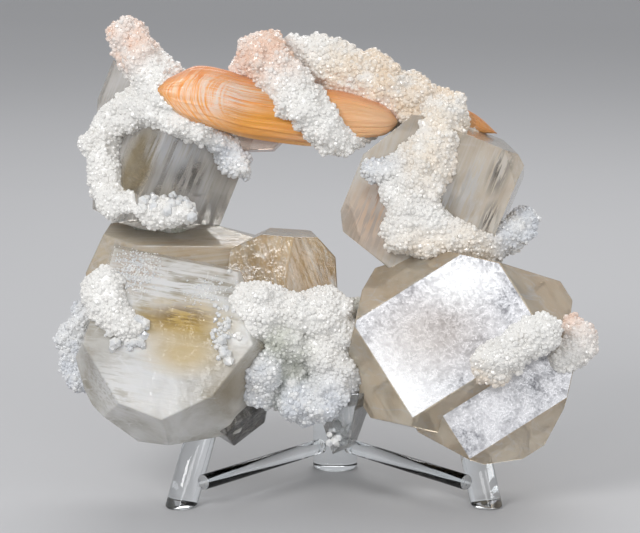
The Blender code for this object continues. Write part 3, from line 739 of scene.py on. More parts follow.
CRYSTALS = {
    "lower_right_front": crystal_planes(
        end=(53.1, -25.7, 34), axis=LOWER_RIGHT_AXIS, face=LOWER_RIGHT_FACE,
        ends=(31.8, 23.2, 31.8, 23.0), sides=(48.6, 30.8, 37.4, 41.8),
        length=62, far_ends=(36, 20, 24, 20),
        cuts=[((22.3, -0.6, 8), (-0.264, 0.965, -0.1)),
              ((16.3, -13.6, 8), (-0.9, 0.436, -0.1))]),
    "lower_right_back": crystal_planes(
        end=(71.3, -42.9, 25), axis=LOWER_RIGHT_AXIS, face=LOWER_RIGHT_FACE,
        ends=(29.7, 23.7, 27.2, 25.6), sides=(32.0, 30, 30, 40),
        length=56, far_ends=(18, 18, 18, 18),
        cuts=[((96.2, -66.6, 8), (0.914, -0.406, 0.0)),
              ((76, -79.8, 6), (0.02, -1, -0.1)),
              ((47.2, -71.4, 5), (-0.412, -0.911, -0.05))]),
    "upper_right": crystal_planes(
        end=(57.8, 57.7, 3), axis=UPPER_RIGHT_AXIS, face=UPPER_RIGHT_FACE,
        ends=(29.5, 30.5, 29, 29), sides=(20, 31.2, 22, 31.0),
        length=68, far_ends=(24, 24, 26, 26),
        cuts=[((62, 55.6, -14), (0.08, 0.99, -0.1)),
              ((80.1, 46.9, 0), (0.874, 0.487, 0.0)),
              ((8.7, 20.4, 4), (-0.99, -0.12, 0.0)),
              ((18.2, 8.9, 0), (-0.62, -0.785, -0.1)),
              ((20.7, 11.4, 18.5), (-0.48, -0.60, 0.64)),
              ((24, 51, 10), (-0.62, 0.785, 0.0))]),
    "upper_left": crystal_planes(
        end=(-54.9, 72.5, 3), axis=UPPER_LEFT_AXIS, face=UPPER_LEFT_FACE,
        ends=(30, 30, 38, 27), sides=(16.5, 29.3, 39.5, 13.5),
        length=60, far_ends=(28, 28, 30, 28),
        cuts=[((-65, 46, -26), (0, 0.1, -1)),
              ((-93.2, 48, -8), (-1, 0.02, 0)),
              ((-57.8, 18.4, 10), (0.05, -0.97, 0.15))]),
    "lower_left_front": faces_seen([
        ((-64, -43, 34), MILKY_FACE),
        ((-91.5, -42.7, 32.3), (-0.78, -0.38, 0.50)),
        ((-97.9, -40.7, 6), (-0.97, -0.2, -0.1)),
        ((-93.8, -54.3, 6), (-0.88, -0.47, -0.1)),
        ((-83.4, -64.2, 6), (-0.64, -0.77, -0.1)),
        ((-75.4, -59.5, 36), (-0.36, -0.80, 0.47)),
        ((-55.3, -58.6, 37), (0.36, -0.76, 0.54)),
        ((-38.4, -45.8, 36), (0.70, -0.50, 0.50)),
        ((-62, -70.2, 6), (0.05, -0.97, -0.22)),
        ((-29, -60, 6), (0.90, -0.42, 0.02)),
        ((-59.9, -13.8, 29.5), (0.12, 0.66, 0.74)),
        ((-54.5, 1.4, 18), (0.19, 0.97, 0.12)),
        ((-96, -22, 10), (-0.93, 0.34, 0.12)),
        ((-30, -12, 18), (0.80, 0.45, 0.40)),
        ((-60, -30, -26), (0.05, 0.0, -1)),
        ((-60, -66, -16), (0.0, -0.75, -0.66)),
    ]),
    "lower_left_back": faces_seen([
        ((-60, 17.1, -15), (0.02, 0.93, 0.36)),
        ((-45, 17.4, -17), (0.08, 0.97, -0.22)),
        ((-35.9, 14.9, -10), (0.28, 0.96, 0.05)),
        ((-60, 5, 7), (0.05, -0.25, 0.96)),
        ((-84, 8, 2), (-0.62, 0.12, 0.77)),
        ((-90.9, 9.7, -8), (-0.90, 0.43, 0.0)),
        ((-96, -6, -8), (-0.97, -0.25, 0.0)),
        ((-24, 5, -10), (0.95, 0.2, 0.2)),
        ((-60, 0, -40), (0.0, 0.1, -1)),
        ((-60, -30, -10), (0.0, -1, -0.1)),
        ((-60, -25, -34), (0.0, -0.7, -0.7)),
        ((-88, 5, -32), (-0.6, 0.1, -0.78)),
    ]),
    "middle_back": faces_seen([
        ((-18, 6, 14), (-0.28, 0.34, 0.90)),
        ((-3, 0, 13), (0.42, 0.22, 0.88)),
        ((-14, 13.6, 0), (0.05, 0.99, 0.1)),
        ((-27, 12.2, 0), (-0.42, 0.90, 0.05)),
        ((3, 7.6, 0), (0.74, 0.67, 0.0)),
        ((6.8, -3, 0), (0.99, 0.06, 0.0)),
        ((-36, 0, 0), (-0.95, 0.1, -0.2)),
        ((-12, -34, 4), (0.1, -1, 0.2)),
        ((-15, -5, -27), (0.1, 0.2, -1)),
        ((0, 0, -18), (0.7, 0.1, -0.7)),
    ]),
    "hidden_back": crystal_planes(
        end=(9, -30, -60), axis=BACK_AXIS, face=BACK_FACE,
        ends=(20, 20, 20, 20), sides=(21, 28, 22, 15),
        length=62, far_ends=(16, 16, 16, 16),
        cuts=[((8, -49.5, -34), (0, -0.978, -0.208))]),
    "dark_tip": faces_seen([
        ((-39.6, -70.2, 6), (-0.53, -0.83, 0.15)),
        ((-31, -65, 8), (0.63, -0.73, 0.3)),
        ((-40, -64, 14), (-0.25, 0.05, 0.97)),
        ((-28, -62, 12), (0.45, 0.0, 0.9)),
        ((-22, -60, 6), (0.98, -0.2, 0)),
        ((-44, -64, 4), (-0.95, 0.3, 0)),
        ((-32, -48, 4), (0, 1, 0)),
        ((-32, -62, -10), (0, -0.3, -0.95)),
    ]),
    "hanging_tip": faces_seen([
        ((5.4, -70.8, 13), (-0.93, -0.25, 0.25)),
        ((10.3, -74.5, 13), (0.40, -0.90, 0.15)),
        ((14.6, -67, 13), (0.93, -0.29, 0.25)),
        ((6, -66, 20), (-0.30, -0.05, 0.95)),
        ((8, -52, 10), (0, 1, 0)),
        ((8, -64, 2), (0, -0.2, -0.98)),
    ]),
    "clear_chip": faces_seen([
        ((-36, 51, 12), (-0.75, -0.60, 0.2)),
        ((-27, 48.4, 12), (0.03, -0.99, 0.1)),
        ((-18, 50, 12), (0.70, -0.70, 0.1)),
        ((-28, 52, 11), (-0.1, -0.1, 0.98)),
        ((-28, 62, 12), (0, 1, 0)),
        ((-28, 52, 3), (0, 0, -1)),
        ((-40, 58, 12), (-1, 0, 0)),
        ((-12, 58, 12), (1, 0, 0)),
    ]),
}


def stepped(bm, axis, face, steps):
    """Pushes strips of one prism face in, as where a crystal grew in parallel leaves.

    steps are (from, to, depth) in mm: where the strip starts and ends across the face, measured
    from the middle of the face, and how far it is pushed in.
    """
    bm.normal_update()
    normal = heading(*face)
    across = heading(*axis).cross(normal)
    middle = max(bm.faces, key=lambda side: side.normal.dot(normal)).calc_center_median()
    for edge_at in {place for start, end, _ in steps for place in (start, end)}:
        bmesh.ops.bisect_plane(bm, geom=everything(bm), dist=ON_PLANE,
                               plane_co=middle + across * edge_at * MM, plane_no=across)
    for start, end, depth in steps:
        bm.normal_update()
        strip = []
        for side in bm.faces:
            off = side.calc_center_median() - middle
            if (side.normal.dot(normal) > PARALLEL and abs(off.dot(normal)) < SAME_FACE
                    and start < off.dot(across) / MM < end):
                strip.append(side)
        pushed = bmesh.ops.extrude_face_region(bm, geom=strip)["geom"]
        bmesh.ops.delete(bm, geom=strip, context="FACES_ONLY")
        corners = [vert for vert in pushed if isinstance(vert, bmesh.types.BMVert)]
        bmesh.ops.translate(bm, vec=-normal * depth * MM, verts=corners)
    bmesh.ops.recalc_face_normals(bm, faces=bm.faces[:])


def crystal(name):
    """One crystal with worn edges; a flat end with a finish of its own looks along the axis."""
    finishes = [glassy_side(**SIDES[name])]
    bm = cut_block(CRYSTALS[name])
    if name in LEAVES:
        stepped(bm, *LEAVES[name])
    bm.normal_update()
    sharp = [edge for edge in bm.edges if edge.calc_face_angle(0) > SHARP]
    bmesh.ops.bevel(bm, geom=sharp, offset=WORN_EDGE, segments=2, profile=0.5, affect="EDGES",
                    material=-1, clamp_overlap=True)
    bm.normal_update()
    if name in ENDS:
        finishes.append(pearly_end(**ENDS[name]))
        along = heading(*ENDS[name]["along"])
        for face in bm.faces:
            if face.normal.dot(along) > FLAT_END:
                face.material_index = 1
    return new_object(name, bm, *finishes)


def grown_together(name, parts):
    """The crystals joined in one piece, each keeping its own finishes."""
    first, *others = parts
    joined = bpy.data.collections.new("joined")
    bpy.context.scene.collection.children.link(joined)
    for part in others:
        bpy.context.scene.collection.objects.unlink(part)
        joined.objects.link(part)
    join = first.modifiers.new("grown together", "BOOLEAN")
    join.operation = "UNION"
    join.operand_type = "COLLECTION"
    join.collection = joined
    join.solver = "EXACT"
    join.use_self = True
    join.material_mode = "TRANSFER"
    piece = settled(first, name)
    for part in others:
        bpy.data.objects.remove(part, do_unlink=True)
    bpy.data.collections.remove(joined)
    return belongs(piece, "apophyllite", "apophyllite_cluster")


def inside_crystal(point, planes, depth):
    return all((point - place).dot(normal) < -depth for place, normal in planes)


# how many veils each crystal has, and how far they reach from their middles, mm
VEILS_IN = {
    "upper_left": (6, 24),
    "upper_right": (6, 26),
    "lower_left_front": (14, 32),
    "lower_right_front": (5, 34),
    "lower_right_back": (3, 26),
    "middle_back": (3, 18),
    "lower_left_back": (3, 24),
    "dark_tip": (3, 9),
    "hanging_tip": (2, 9),
    "clear_chip": (2, 9),
}


def veil(planes, at, turn, reach):
    """One wavy film, ending where it nears the crystal's faces."""
    sheet = bmesh.new()
    bmesh.ops.create_grid(sheet, x_segments=VEIL_CELLS, y_segments=VEIL_CELLS, size=reach * MM)
    for vert in sheet.verts:
        wave = sum(noise.noise(vert.co * close + at * VEIL_APART) * high * MM
                   for close, high in VEIL_WAVES)
        vert.co = at + turn @ (vert.co + Vector((0, 0, wave)))
    out = [vert for vert in sheet.verts if not inside_crystal(vert.co, planes, VEIL_DEPTH)]
    bmesh.ops.delete(sheet, geom=out, context="VERTS")
    loose = [vert for vert in sheet.verts if not vert.link_faces]
    bmesh.ops.delete(sheet, geom=loose, context="VERTS")
    bmesh.ops.solidify(sheet, geom=sheet.faces[:], thickness=VEIL_THICKNESS)
    bmesh.ops.recalc_face_normals(sheet, faces=sheet.faces[:])
    mesh = bpy.data.meshes.new("sheet")
    sheet.to_mesh(mesh)
    sheet.free()
    return mesh


def veils(finish):
    """The films of tiny bubbles inside the clear crystals."""
    bm = bmesh.new()
    rng = random.Random(VEIL_SEED)
    for name, (count, reach) in VEILS_IN.items():
        planes = CRYSTALS[name]
        block = cut_block(planes)
        corners = [vert.co.copy() for vert in block.verts]
        block.free()
        middle = sum(corners, Vector()) / len(corners)
        for _ in range(count):
            way = Vector([rng.gauss(0, 1) for _ in range(3)]).normalized()
            stray = Vector([rng.uniform(-VEIL_STRAY, VEIL_STRAY) for _ in range(3)])
            turn = way.to_track_quat("Z", "Y").to_matrix()
            mesh = veil(planes, middle + stray * reach * MM, turn, reach)
            bm.from_mesh(mesh)
            bpy.data.meshes.remove(mesh)
    return belongs(new_object("inner_veils", bm, finish, smooth_under=180), "apophyllite")


def foremost_face(place):
    """The point on a crystal's face that covers a place as seen from the front, or nothing."""
    found = None
    for planes in CRYSTALS.values():
        enters, leaves = -math.inf, math.inf
        for point, normal in planes:
            slope = normal.dot(FORWARD)
            along = (point - place).dot(normal) / slope if slope else math.inf
            if slope > 0:
                leaves = min(leaves, along)
            else:
                enters = max(enters, along)
        if enters < leaves and (found is None or leaves > found):
            found = leaves
    return None if found is None else place + FORWARD * found


# middle and spread in front-view mm, how many crystals, their least and greatest width in mm, and
# whether they sit on the crystals' faces
QUARTZ_SPOTS = [
    ((-79, -28, 33), (11, 8, 3), 46, 1.6, 6.0, True),
    ((-29.3, 1.9, 16.5), (13, 4, 1.2), 120, 0.5, 2.0, True),
    ((-39, -32, 32.5), (6, 9, 1.5), 12, 2.2, 5.2, True),
    ((-40.7, -25, 32.5), (5, 11, 1.5), 70, 0.6, 2.4, True),
    ((-64, 25, 20), (12, 5, 2), 44, 1.8, 5.2, False),
    ((7.6, -70, 17), (4.5, 4.5, 1.5), 18, 2.4, 5.2, False),
    ((-76, -1, 21.5), (11, 11, 2), 620, 0.35, 1.1, True),
    ((-45, -10, 27), (12, 7, 2), 160, 0.35, 1.0, True),
    ((22, 20, 20), (9, 9, 2), 110, 0.5, 1.6, True),
]


def pointed_prism(bm, low_radius, high_radius, height):
    """Six-sided prism along z; the last of the vertices it gives is the middle of its top."""
    verts = bmesh.ops.create_cone(bm, cap_ends=True, segments=6, radius1=low_radius,
                                  radius2=high_radius, depth=height)["verts"]
    caps = {face for vert in verts for face in vert.link_faces if len(face.verts) == 6}
    top = max(caps, key=lambda face: face.calc_center_median().z)
    return verts + bmesh.ops.poke(bm, faces=[top])["verts"]


def loose_quartz(finish):
    """The larger clear quartz crystals that sit on the apophyllite one by one."""
    bm = bmesh.new()
    rng = random.Random(LOOSE_SEED)
    for middle, spread, count, low, high, on_faces in QUARTZ_SPOTS:
        for _ in range(count):
            size = low + (high - low) * rng.random() ** LOOSE_SKEW
            place = seen(*(at + (rng.random() + rng.random() - 1) * reach
                           for at, reach in zip(middle, spread)))
            if on_faces:
                face = foremost_face(place)
                if face is None:
                    continue
                place = face - FORWARD * size * SUNK * MM
            size *= MM
            verts = pointed_prism(bm, size * LOW_WIDTH, size * HIGH_WIDTH, size * TALL)
            verts[-1].co.z += size * rng.uniform(TIP_LEAST, TIP_MOST)
            lean = Vector([rng.uniform(-LOOSE_LEAN, LOOSE_LEAN) for _ in range(3)])
            turn = (FORWARD + lean).normalized().to_track_quat("Z", "Y").to_matrix()
            bmesh.ops.rotate(bm, matrix=turn, verts=verts)
            bmesh.ops.translate(bm, vec=place, verts=verts)
    bmesh.ops.recalc_face_normals(bm, faces=bm.faces[:])
    return belongs(new_object("clear_quartz", bm, finish), "quartz_druse")


# druse: each lump is a chain of (across, up, forward, radius), with the colour of its grains; the
# blue grey one is painted shade

PALE = linear(247, 245, 241)
PINK = linear(246, 214, 194)
TAN = linear(240, 222, 200)
WARM = linear(246, 236, 222)
# painted shade: a blue grey for the lumps that lie in shade
BLUE_GREY_SHADE = linear(222, 225, 230)
GREYISH = linear(206, 208, 196)
RUST = linear(214, 160, 108)

LUMPS = {
    "druse_left": [
        (PINK, [(-79.3, 95, 12, 9.9), (-73.5, 86, 13, 10.6)]),
        (PALE, [(-73.5, 86, 13, 10.6), (-66.5, 76, 15, 11.6), (-63.6, 66, 16, 11.5),
                (-74, 66.7, 10, 9.4), (-85, 61, 3, 8)]),
        (PALE, [(-63.6, 66, 16, 11.5), (-57, 60, 19, 9), (-50, 57, 17, 6.5)]),
        (PALE, [(-87, 60, 1, 8), (-90.5, 50, 0, 8.6), (-88.6, 38, 2, 9), (-85, 27, 6, 8.2),
                (-76.5, 24.5, 13, 7.6), (-65.3, 22.6, 19, 6.8), (-56, 22, 17, 6.2)]),
        (BLUE_GREY_SHADE, [(-35, 43.6, 6, 8.4), (-38, 49, 8, 6.4), (-47, 56, 14, 6)]),
        (GREYISH, [(-62, 15, -14, 9), (-72, 15, -16, 9)]),
        (GREYISH, [(-60, 62, -12, 10), (-48, 50, -14, 8)]),
    ],
    "druse_arch": [
        (PINK, [(-32, 80, 11, 6), (-24.8, 87.6, 14, 11.4), (-17.5, 79.7, 18, 11)]),
        (PALE, [(-17.5, 79.7, 18, 11), (-9, 68.8, 21, 10.4), (0, 59.7, 20, 9.4), (6, 52.5, 16, 7.8),
                (14, 53.5, 12, 6.2), (20, 56, 9, 4.5)]),
        (RUST, [(-19, 95, 15, 2.6), (-12.4, 87, 19, 2.6), (-4, 76.5, 21, 2.6)]),
        (PALE, [(-10, 90.2, 4, 7.4), (0.8, 86, 4, 10.2)]),
        (WARM, [(0.8, 86, 4, 10.2), (12.4, 79.9, 3, 12.8)]),
        (TAN, [(12.4, 79.9, 3, 12.8), (24.8, 73.4, 3, 13.8), (35.5, 68.8, 4, 12.4),
               (44.6, 66.4, 6, 10.2)]),
        (TAN, [(60, 52, -10, 8), (46, 60, -10, 9), (30, 66, -6, 10)]),
        (TAN, [(20, 64, 0, 7), (10, 67, 0, 8)]),
    ],
    "druse_column": [
        (TAN, [(44.6, 66.4, 6, 10.2), (52.5, 63.5, 10, 9.6)]),
        (WARM, [(52.5, 63.5, 10, 9.6), (49, 57, 16, 10.8), (44.5, 46, 19, 11.6),
                (41.5, 34, 21, 10.8)]),
        (PALE, [(41.5, 34, 21, 10.8), (37.5, 22.5, 21, 10.2), (33.5, 13, 20, 8.8)]),
        (WARM, [(33.5, 13, 20, 8.8), (46, 10.5, 21, 8.8), (59, 9, 20, 7.8), (71, 7.5, 15, 6.4)]),
        (TAN, [(53, 54, 13, 8), (51, 44, 15, 8), (46, 36, 19, 9)]),
        (PALE, [(31, 31, 20, 7), (37, 25, 20, 9), (46, 18, 20, 9), (56, 12, 19, 8)]),
        (BLUE_GREY_SHADE, [(34, 41, 21, 7), (21.5, 39.5, 16, 5.6)]),
        (BLUE_GREY_SHADE, [(72, 8.5, 14, 7), (78, 12.5, 12, 7.4), (83.5, 17, 10, 7), (86, 19, 9, 5)]),
    ],
    "druse_lower_left": [
        (PALE, [(-89.5, -9.5, 24, 11.2), (-86, -17, 27, 10), (-79.5, -25, 29, 7.6)]),
        (BLUE_GREY_SHADE, [(-96, -22, 13, 8.4), (-102, -31.5, 9, 7.8), (-101, -42, 7, 7),
                  (-97.5, -47.5, 9, 5.8)]),
    ],
    "druse_middle": [
        (PALE, [(-32, -26, 26, 8.6), (-24.5, -16.5, 23, 11.6), (-12.4, -20.5, 20, 10.8),
                (1, -18.2, 20, 11.4), (8, -27, 19, 9.8)]),
        (GREYISH, [(10, -20, 12, 6), (20, -18, 6, 6)]),
        (GREYISH, [(-16, -33, 14, 9), (-12, -43, 11, 9), (-14, -53, 13, 8)]),
        (GREYISH, [(-25, -31, 17, 7.5), (-17, -28, 19, 7.5), (-10, -31, 19, 8)]),
        (GREYISH, [(-21, -28, 25, 6), (-15, -30, 25, 6), (-10, -33, 22, 6)]),
        (BLUE_GREY_SHADE, [(-23.4, -41.4, 22, 9.2), (-26, -53, 16, 7)]),
        (PALE, [(2.5, -34, 17, 11.6), (7, -47, 16, 10.8)]),
        (BLUE_GREY_SHADE, [(7, -47, 16, 10.8), (1, -56, 18, 10.2), (-9, -56, 18, 10.2)]),
    ],
    "druse_lower_right": [
        (PALE, [(70.5, -39.6, 35, 8.6), (81, -33.6, 36, 9.8), (92.5, -27, 35, 8.8)]),
        (TAN, [(66, -43, 33, 5.5), (74, -43, 34, 6)]),
        (PINK, [(105, -27, 21, 6.5), (109, -28.5, 21, 6.5)]),
        (PALE, [(106.6, -33, 21, 9.2), (100, -38.5, 23, 7)]),
    ],
    "druse_back": [
        (GREYISH, [(-66, -18, -37, 7), (-50, -20, -37, 8), (-34, -24, -34, 8), (-22, -30, -31, 7)]),
        (GREYISH, [(34, -24, -26, 7), (46, -14, -27, 7.5), (52, 0, -24, 7), (56, 12, -21, 6)]),
    ],
}


def balls_of(chains):
    """(middle, radius, colour) of every ball along the chains; the blue grey colour is painted shade.
    """
    for stain, chain in chains:
        for one, two in zip(chain, chain[1:]):
            for step in range(BALL_STEPS + 1):
                across, up, forward, radius = (a + (b - a) * step / BALL_STEPS
                                               for a, b in zip(one, two))
                yield seen(across, up, forward), radius * MM, stain


def lumps(name, balls, finish):
    """The balls and their knobs melted into one closed skin with swells and dips."""
    bm = bmesh.new()
    rng = random.Random(name)
    for middle, radius, _ in balls:
        ball = bmesh.ops.create_icosphere(bm, subdivisions=2, radius=radius * BALL_SHARE)
        bmesh.ops.translate(bm, vec=middle, verts=ball["verts"])
        for _ in range(KNOBS):
            way = Vector([rng.gauss(0, 1) for _ in range(3)]).normalized()
            size = radius * rng.uniform(KNOB_LEAST, KNOB_MOST)
            knob = bmesh.ops.create_icosphere(bm, subdivisions=2, radius=size)
            far = radius * KNOB_REACH - size
            bmesh.ops.translate(bm, vec=middle + way * far, verts=knob["verts"])
    core = new_object(name + "_core", bm, finish)
    skin = core.modifiers.new("skin", "REMESH")
    skin.mode = "VOXEL"
    skin.voxel_size = SKIN_CELL
    core = settled(core, core.name)
    bm = bmesh.new()
    bm.from_mesh(core.data)
    bmesh.ops.smooth_vert(bm, verts=bm.verts[:], factor=SKIN_SMOOTHING, use_axis_x=True,
                          use_axis_y=True, use_axis_z=True)
    bm.normal_update()
    for vert in bm.verts:
        swell = sum(noise.noise(vert.co * close) * high * MM for close, high in SWELLS)
        vert.co += vert.normal * swell
    bm.to_mesh(core.data)
    bm.free()
    return core


def druse_skin(name, chains, finish):
    """The lumps cut away inside the crystals, with each point's colour, painted shade included, and
    each bare face marked.
    """
    balls = list(balls_of(chains))
    core = lumps(name, balls, finish)
    for planes in CRYSTALS.values():
        core = cut_away(core, cut_block(planes, grow=-DRUSE_DEPTH))
    bm = bmesh.new()
    bm.from_mesh(core.data)
    bmesh.ops.holes_fill(bm, edges=[edge for edge in bm.edges if edge.is_boundary])
    bm.to_mesh(core.data)
    bm.free()
    stain = core.data.attributes.new("stain", "FLOAT_COLOR", "POINT")
    bare = core.data.attributes.new("bare", "BOOLEAN", "FACE")
    for vert in core.data.vertices:
        shares = [(math.exp((radius - (vert.co - middle).length) / STAIN_AND_SHADE_BLEND), colour)
                  for middle, radius, colour in balls]
        whole = sum(share for share, _ in shares)
        blended = [sum(share * colour[k] for share, colour in shares) / whole for k in range(3)]
        stain.data[vert.index].color = (*blended, 1)
    for face in core.data.polygons:
        bare.data[face.index].value = not any(
            inside_crystal(face.center, planes, 0) for planes in CRYSTALS.values())
    return core


def quartz_points(finish):
    """Small quartz crystals that the druse repeats: a blunt point and four rounded grains."""
    rng = random.Random(POINT_SEED)
    shapes = bpy.data.collections.new("quartz points")
    for number in range(POINT_KINDS):
        bm = bmesh.new()
        if number == 0:
            tip = pointed_prism(bm, POINT_LOW_R, POINT_HIGH_R, POINT_TALL)[-1]
            tip.co += Vector((rng.uniform(-0.2, 0.2), rng.uniform(-0.2, 0.2),
                              rng.uniform(0.4, 0.7))) * MM
        else:
            bmesh.ops.create_icosphere(bm, subdivisions=1, radius=ROUND_GRAIN_R)
            for vert in bm.verts:
                vert.co *= rng.uniform(0.9, 1.08)
        bmesh.ops.scale(bm, vec=(1, rng.uniform(0.75, 1.0), 1), verts=bm.verts[:])
        bmesh.ops.recalc_face_normals(bm, faces=bm.faces[:])
        point = new_object(f"quartz_point_{number}", bm, finish)
        bpy.context.scene.collection.objects.unlink(point)
        shapes.objects.link(point)
    return shapes


def next_random(part, seed):
    """A random value between 0 and 1 for each grain."""
    made = part.node("FunctionNodeRandomValue", {"data_type": "FLOAT"}, Seed=seed)
    low, high, *_ = (socket for socket in made.inputs if socket.type == "VALUE")
    part.feed(low, 0.0)
    part.feed(high, 1.0)
    return next(socket for socket in made.outputs if socket.type == "VALUE")


def druse_growth(shapes, seed):
    """Geometry nodes: quartz points scattered over the bare skin, each leaning its own way."""
    tree = bpy.data.node_groups.new("druse growth", "GeometryNodeTree")
    for way in ("INPUT", "OUTPUT"):
        tree.interface.new_socket("Geometry", in_out=way, socket_type="NodeSocketGeometry")
    part = Shading(tree)
    skin = part.node("NodeGroupInput").outputs[0]
    bare = part.node("GeometryNodeInputNamedAttribute", {"data_type": "BOOLEAN"}, Name="bare")
    scatter = part.node("GeometryNodeDistributePointsOnFaces", {"distribute_method": "POISSON"},
                        Mesh=skin, Selection=bare.outputs["Attribute"], Distance_Min=GRAIN_SPACING,
                        Density_Max=GRAIN_MOST_DENSE, Seed=seed)
    lean = part.node("FunctionNodeRandomValue", {"data_type": "FLOAT_VECTOR"},
                     Min=(-GRAIN_LEAN, -GRAIN_LEAN, -GRAIN_TWIST),
                     Max=(GRAIN_LEAN, GRAIN_LEAN, GRAIN_TWIST), Seed=seed + 1)
    euler = part.node("FunctionNodeEulerToRotation", Euler=lean.outputs["Value"])
    turned = part.node("FunctionNodeRotateRotation", {"rotation_space": "LOCAL"},
                       Rotation=scatter.outputs["Rotation"], Rotate_By=euler.outputs[0])
    skewed = part.math("POWER", next_random(part, seed + 2), GRAIN_SKEW)
    size = part.math("ADD", GRAIN_LEAST, part.math("MULTIPLY", skewed, GRAIN_MOST - GRAIN_LEAST))
    lowered = part.node("GeometryNodeSetPosition", Geometry=scatter.outputs["Points"],
                        Offset=part.scaled(scatter.outputs["Normal"], GRAIN_SINK))
    kinds = part.node("GeometryNodeCollectionInfo", Collection=shapes, Separate_Children=True,
                      Reset_Children=True)
    grown = part.node("GeometryNodeInstanceOnPoints", Points=lowered.outputs[0],
                      Instance=kinds.outputs[0], Pick_Instance=True, Rotation=turned.outputs[0],
                      Scale=size)
    tone = part.node("GeometryNodeStoreNamedAttribute",
                     {"data_type": "FLOAT", "domain": "INSTANCE"}, Geometry=grown.outputs[0],
                     Name="tone", Value=next_random(part, seed + 3))
    real = part.node("GeometryNodeRealizeInstances", Geometry=tone.outputs[0])
    both = part.node("GeometryNodeJoinGeometry")
    for piece in (real.outputs[0], skin):
        part.feed(both.inputs[0], piece)
    part.node("NodeGroupOutput", Geometry=both.outputs[0])
    return tree


def druse(name, chains, shapes, finish, seed):
    core = druse_skin(name, chains, finish)
    grow = core.modifiers.new("growth", "NODES")
    grow.node_group = druse_growth(shapes, seed)
    return belongs(settled(core, name), "quartz_druse")


# stilbite

def smooth_along(values, place):
    """Value between the given ones, on a smooth curve through them."""
    last = len(values) - 1
    first = min(int(place), last - 1)
    mix = place - first
    before, one, two, after = (values[min(max(first + k, 0), last)] for k in (-1, 0, 1, 2))
    return 0.5 * (2 * one + (two - before) * mix
                  + (2 * before - 5 * one + 4 * two - after) * mix ** 2
                  + (3 * one - before - 3 * two + after) * mix ** 3)


def sheaf(name, middle_line, half_heights, half_depth, finish):
    """A spindle of stilbite blades, with its own coordinates along and across it."""
    bm = bmesh.new()
    bmesh.ops.create_cone(bm, cap_ends=True, segments=SHEAF_SIDES, radius1=0.5, radius2=0.5,
                          depth=1.0)
    long = [edge for edge in bm.edges if abs((edge.verts[0].co - edge.verts[1].co).z) > 0.9]
    bmesh.ops.subdivide_edges(bm, edges=long, cuts=SHEAF_RINGS)
    own = bm.loops.layers.uv.new("sheaf")
    for face in bm.faces:
        for loop in face.loops:
            loop[own].uv = (loop.vert.co.z + 0.5, loop.vert.co.y * 2)
    last = len(middle_line) - 1
    for vert in bm.verts:
        run = vert.co.z + 0.5
        angle = math.atan2(vert.co.y, vert.co.x)
        sine, cosine = math.sin(angle), math.cos(angle)
        across, up, forward = (smooth_along(values, run * last) for values in zip(*middle_line))
        half = max(SHEAF_LEAST, smooth_along(half_heights, run * last))
        deep = half_depth * min(1.0, SHEAF_THIN + (1 - SHEAF_THIN) * half / max(half_heights))
        on_sheaf = Vector([at * close for at, close in zip((cosine, sine, run), RIDGE_SPACING)])
        ridge = 1 + RIDGES * noise.noise(on_sheaf)
        rise = math.copysign(abs(sine) ** SHEAF_ROUND_UP, sine) * ridge
        out = math.copysign(abs(cosine) ** SHEAF_ROUND_OUT, cosine) * ridge
        vert.co = seen(across, up + rise * half, forward + out * deep)
    bmesh.ops.recalc_face_normals(bm, faces=bm.faces[:])
    return belongs(new_object(name, bm, finish, smooth_under=SHEAF_CREASE), "stilbite")


# the stand

def rod(bottom, top, radius, sides=ROD_SIDES):
    bm = bmesh.new()
    line = top - bottom
    bmesh.ops.create_cone(bm, cap_ends=True, segments=sides, radius1=radius, radius2=radius,
                          depth=line.length)
    bmesh.ops.rotate(bm, matrix=line.to_track_quat("Z", "Y").to_matrix(), verts=bm.verts[:])
    bmesh.ops.translate(bm, vec=(bottom + top) / 2, verts=bm.verts[:])
    return bm


def ease_edge(bm, end, offset, steps):
    """Rounds the edge around a rod's end."""
    bmesh.ops.bevel(bm, geom=end.edges[:], offset=offset, segments=steps, profile=0.5,
                    affect="EDGES", material=-1)


def leg(node, foot, top, radius, finish, carried):
    """Leg cut level at the ground, its top shaped to the crystals that it carries."""
    foot = on_ground(foot)
    top = Vector(top) * MM + SHIFT
    below = foot - (top - foot).normalized() * 2 * radius
    bm = rod(below, top, radius)
    keep_behind(bm, foot, Vector((0, 0, -1)))
    bm.normal_update()
    ends = [face for face in bm.faces if len(face.verts) > 4]
    ease_edge(bm, min(ends, key=lambda face: face.normal.z), ROUNDED_EDGE, ROUNDED_STEPS)
    made = new_object(node + "_rod", bm, finish)
    for name in carried:
        made = cut_away(made, cut_block(CRYSTALS[name], grow=GAP), smooth_under=ROD_CREASE)
    return belongs(made, "clear_acrylic", node)


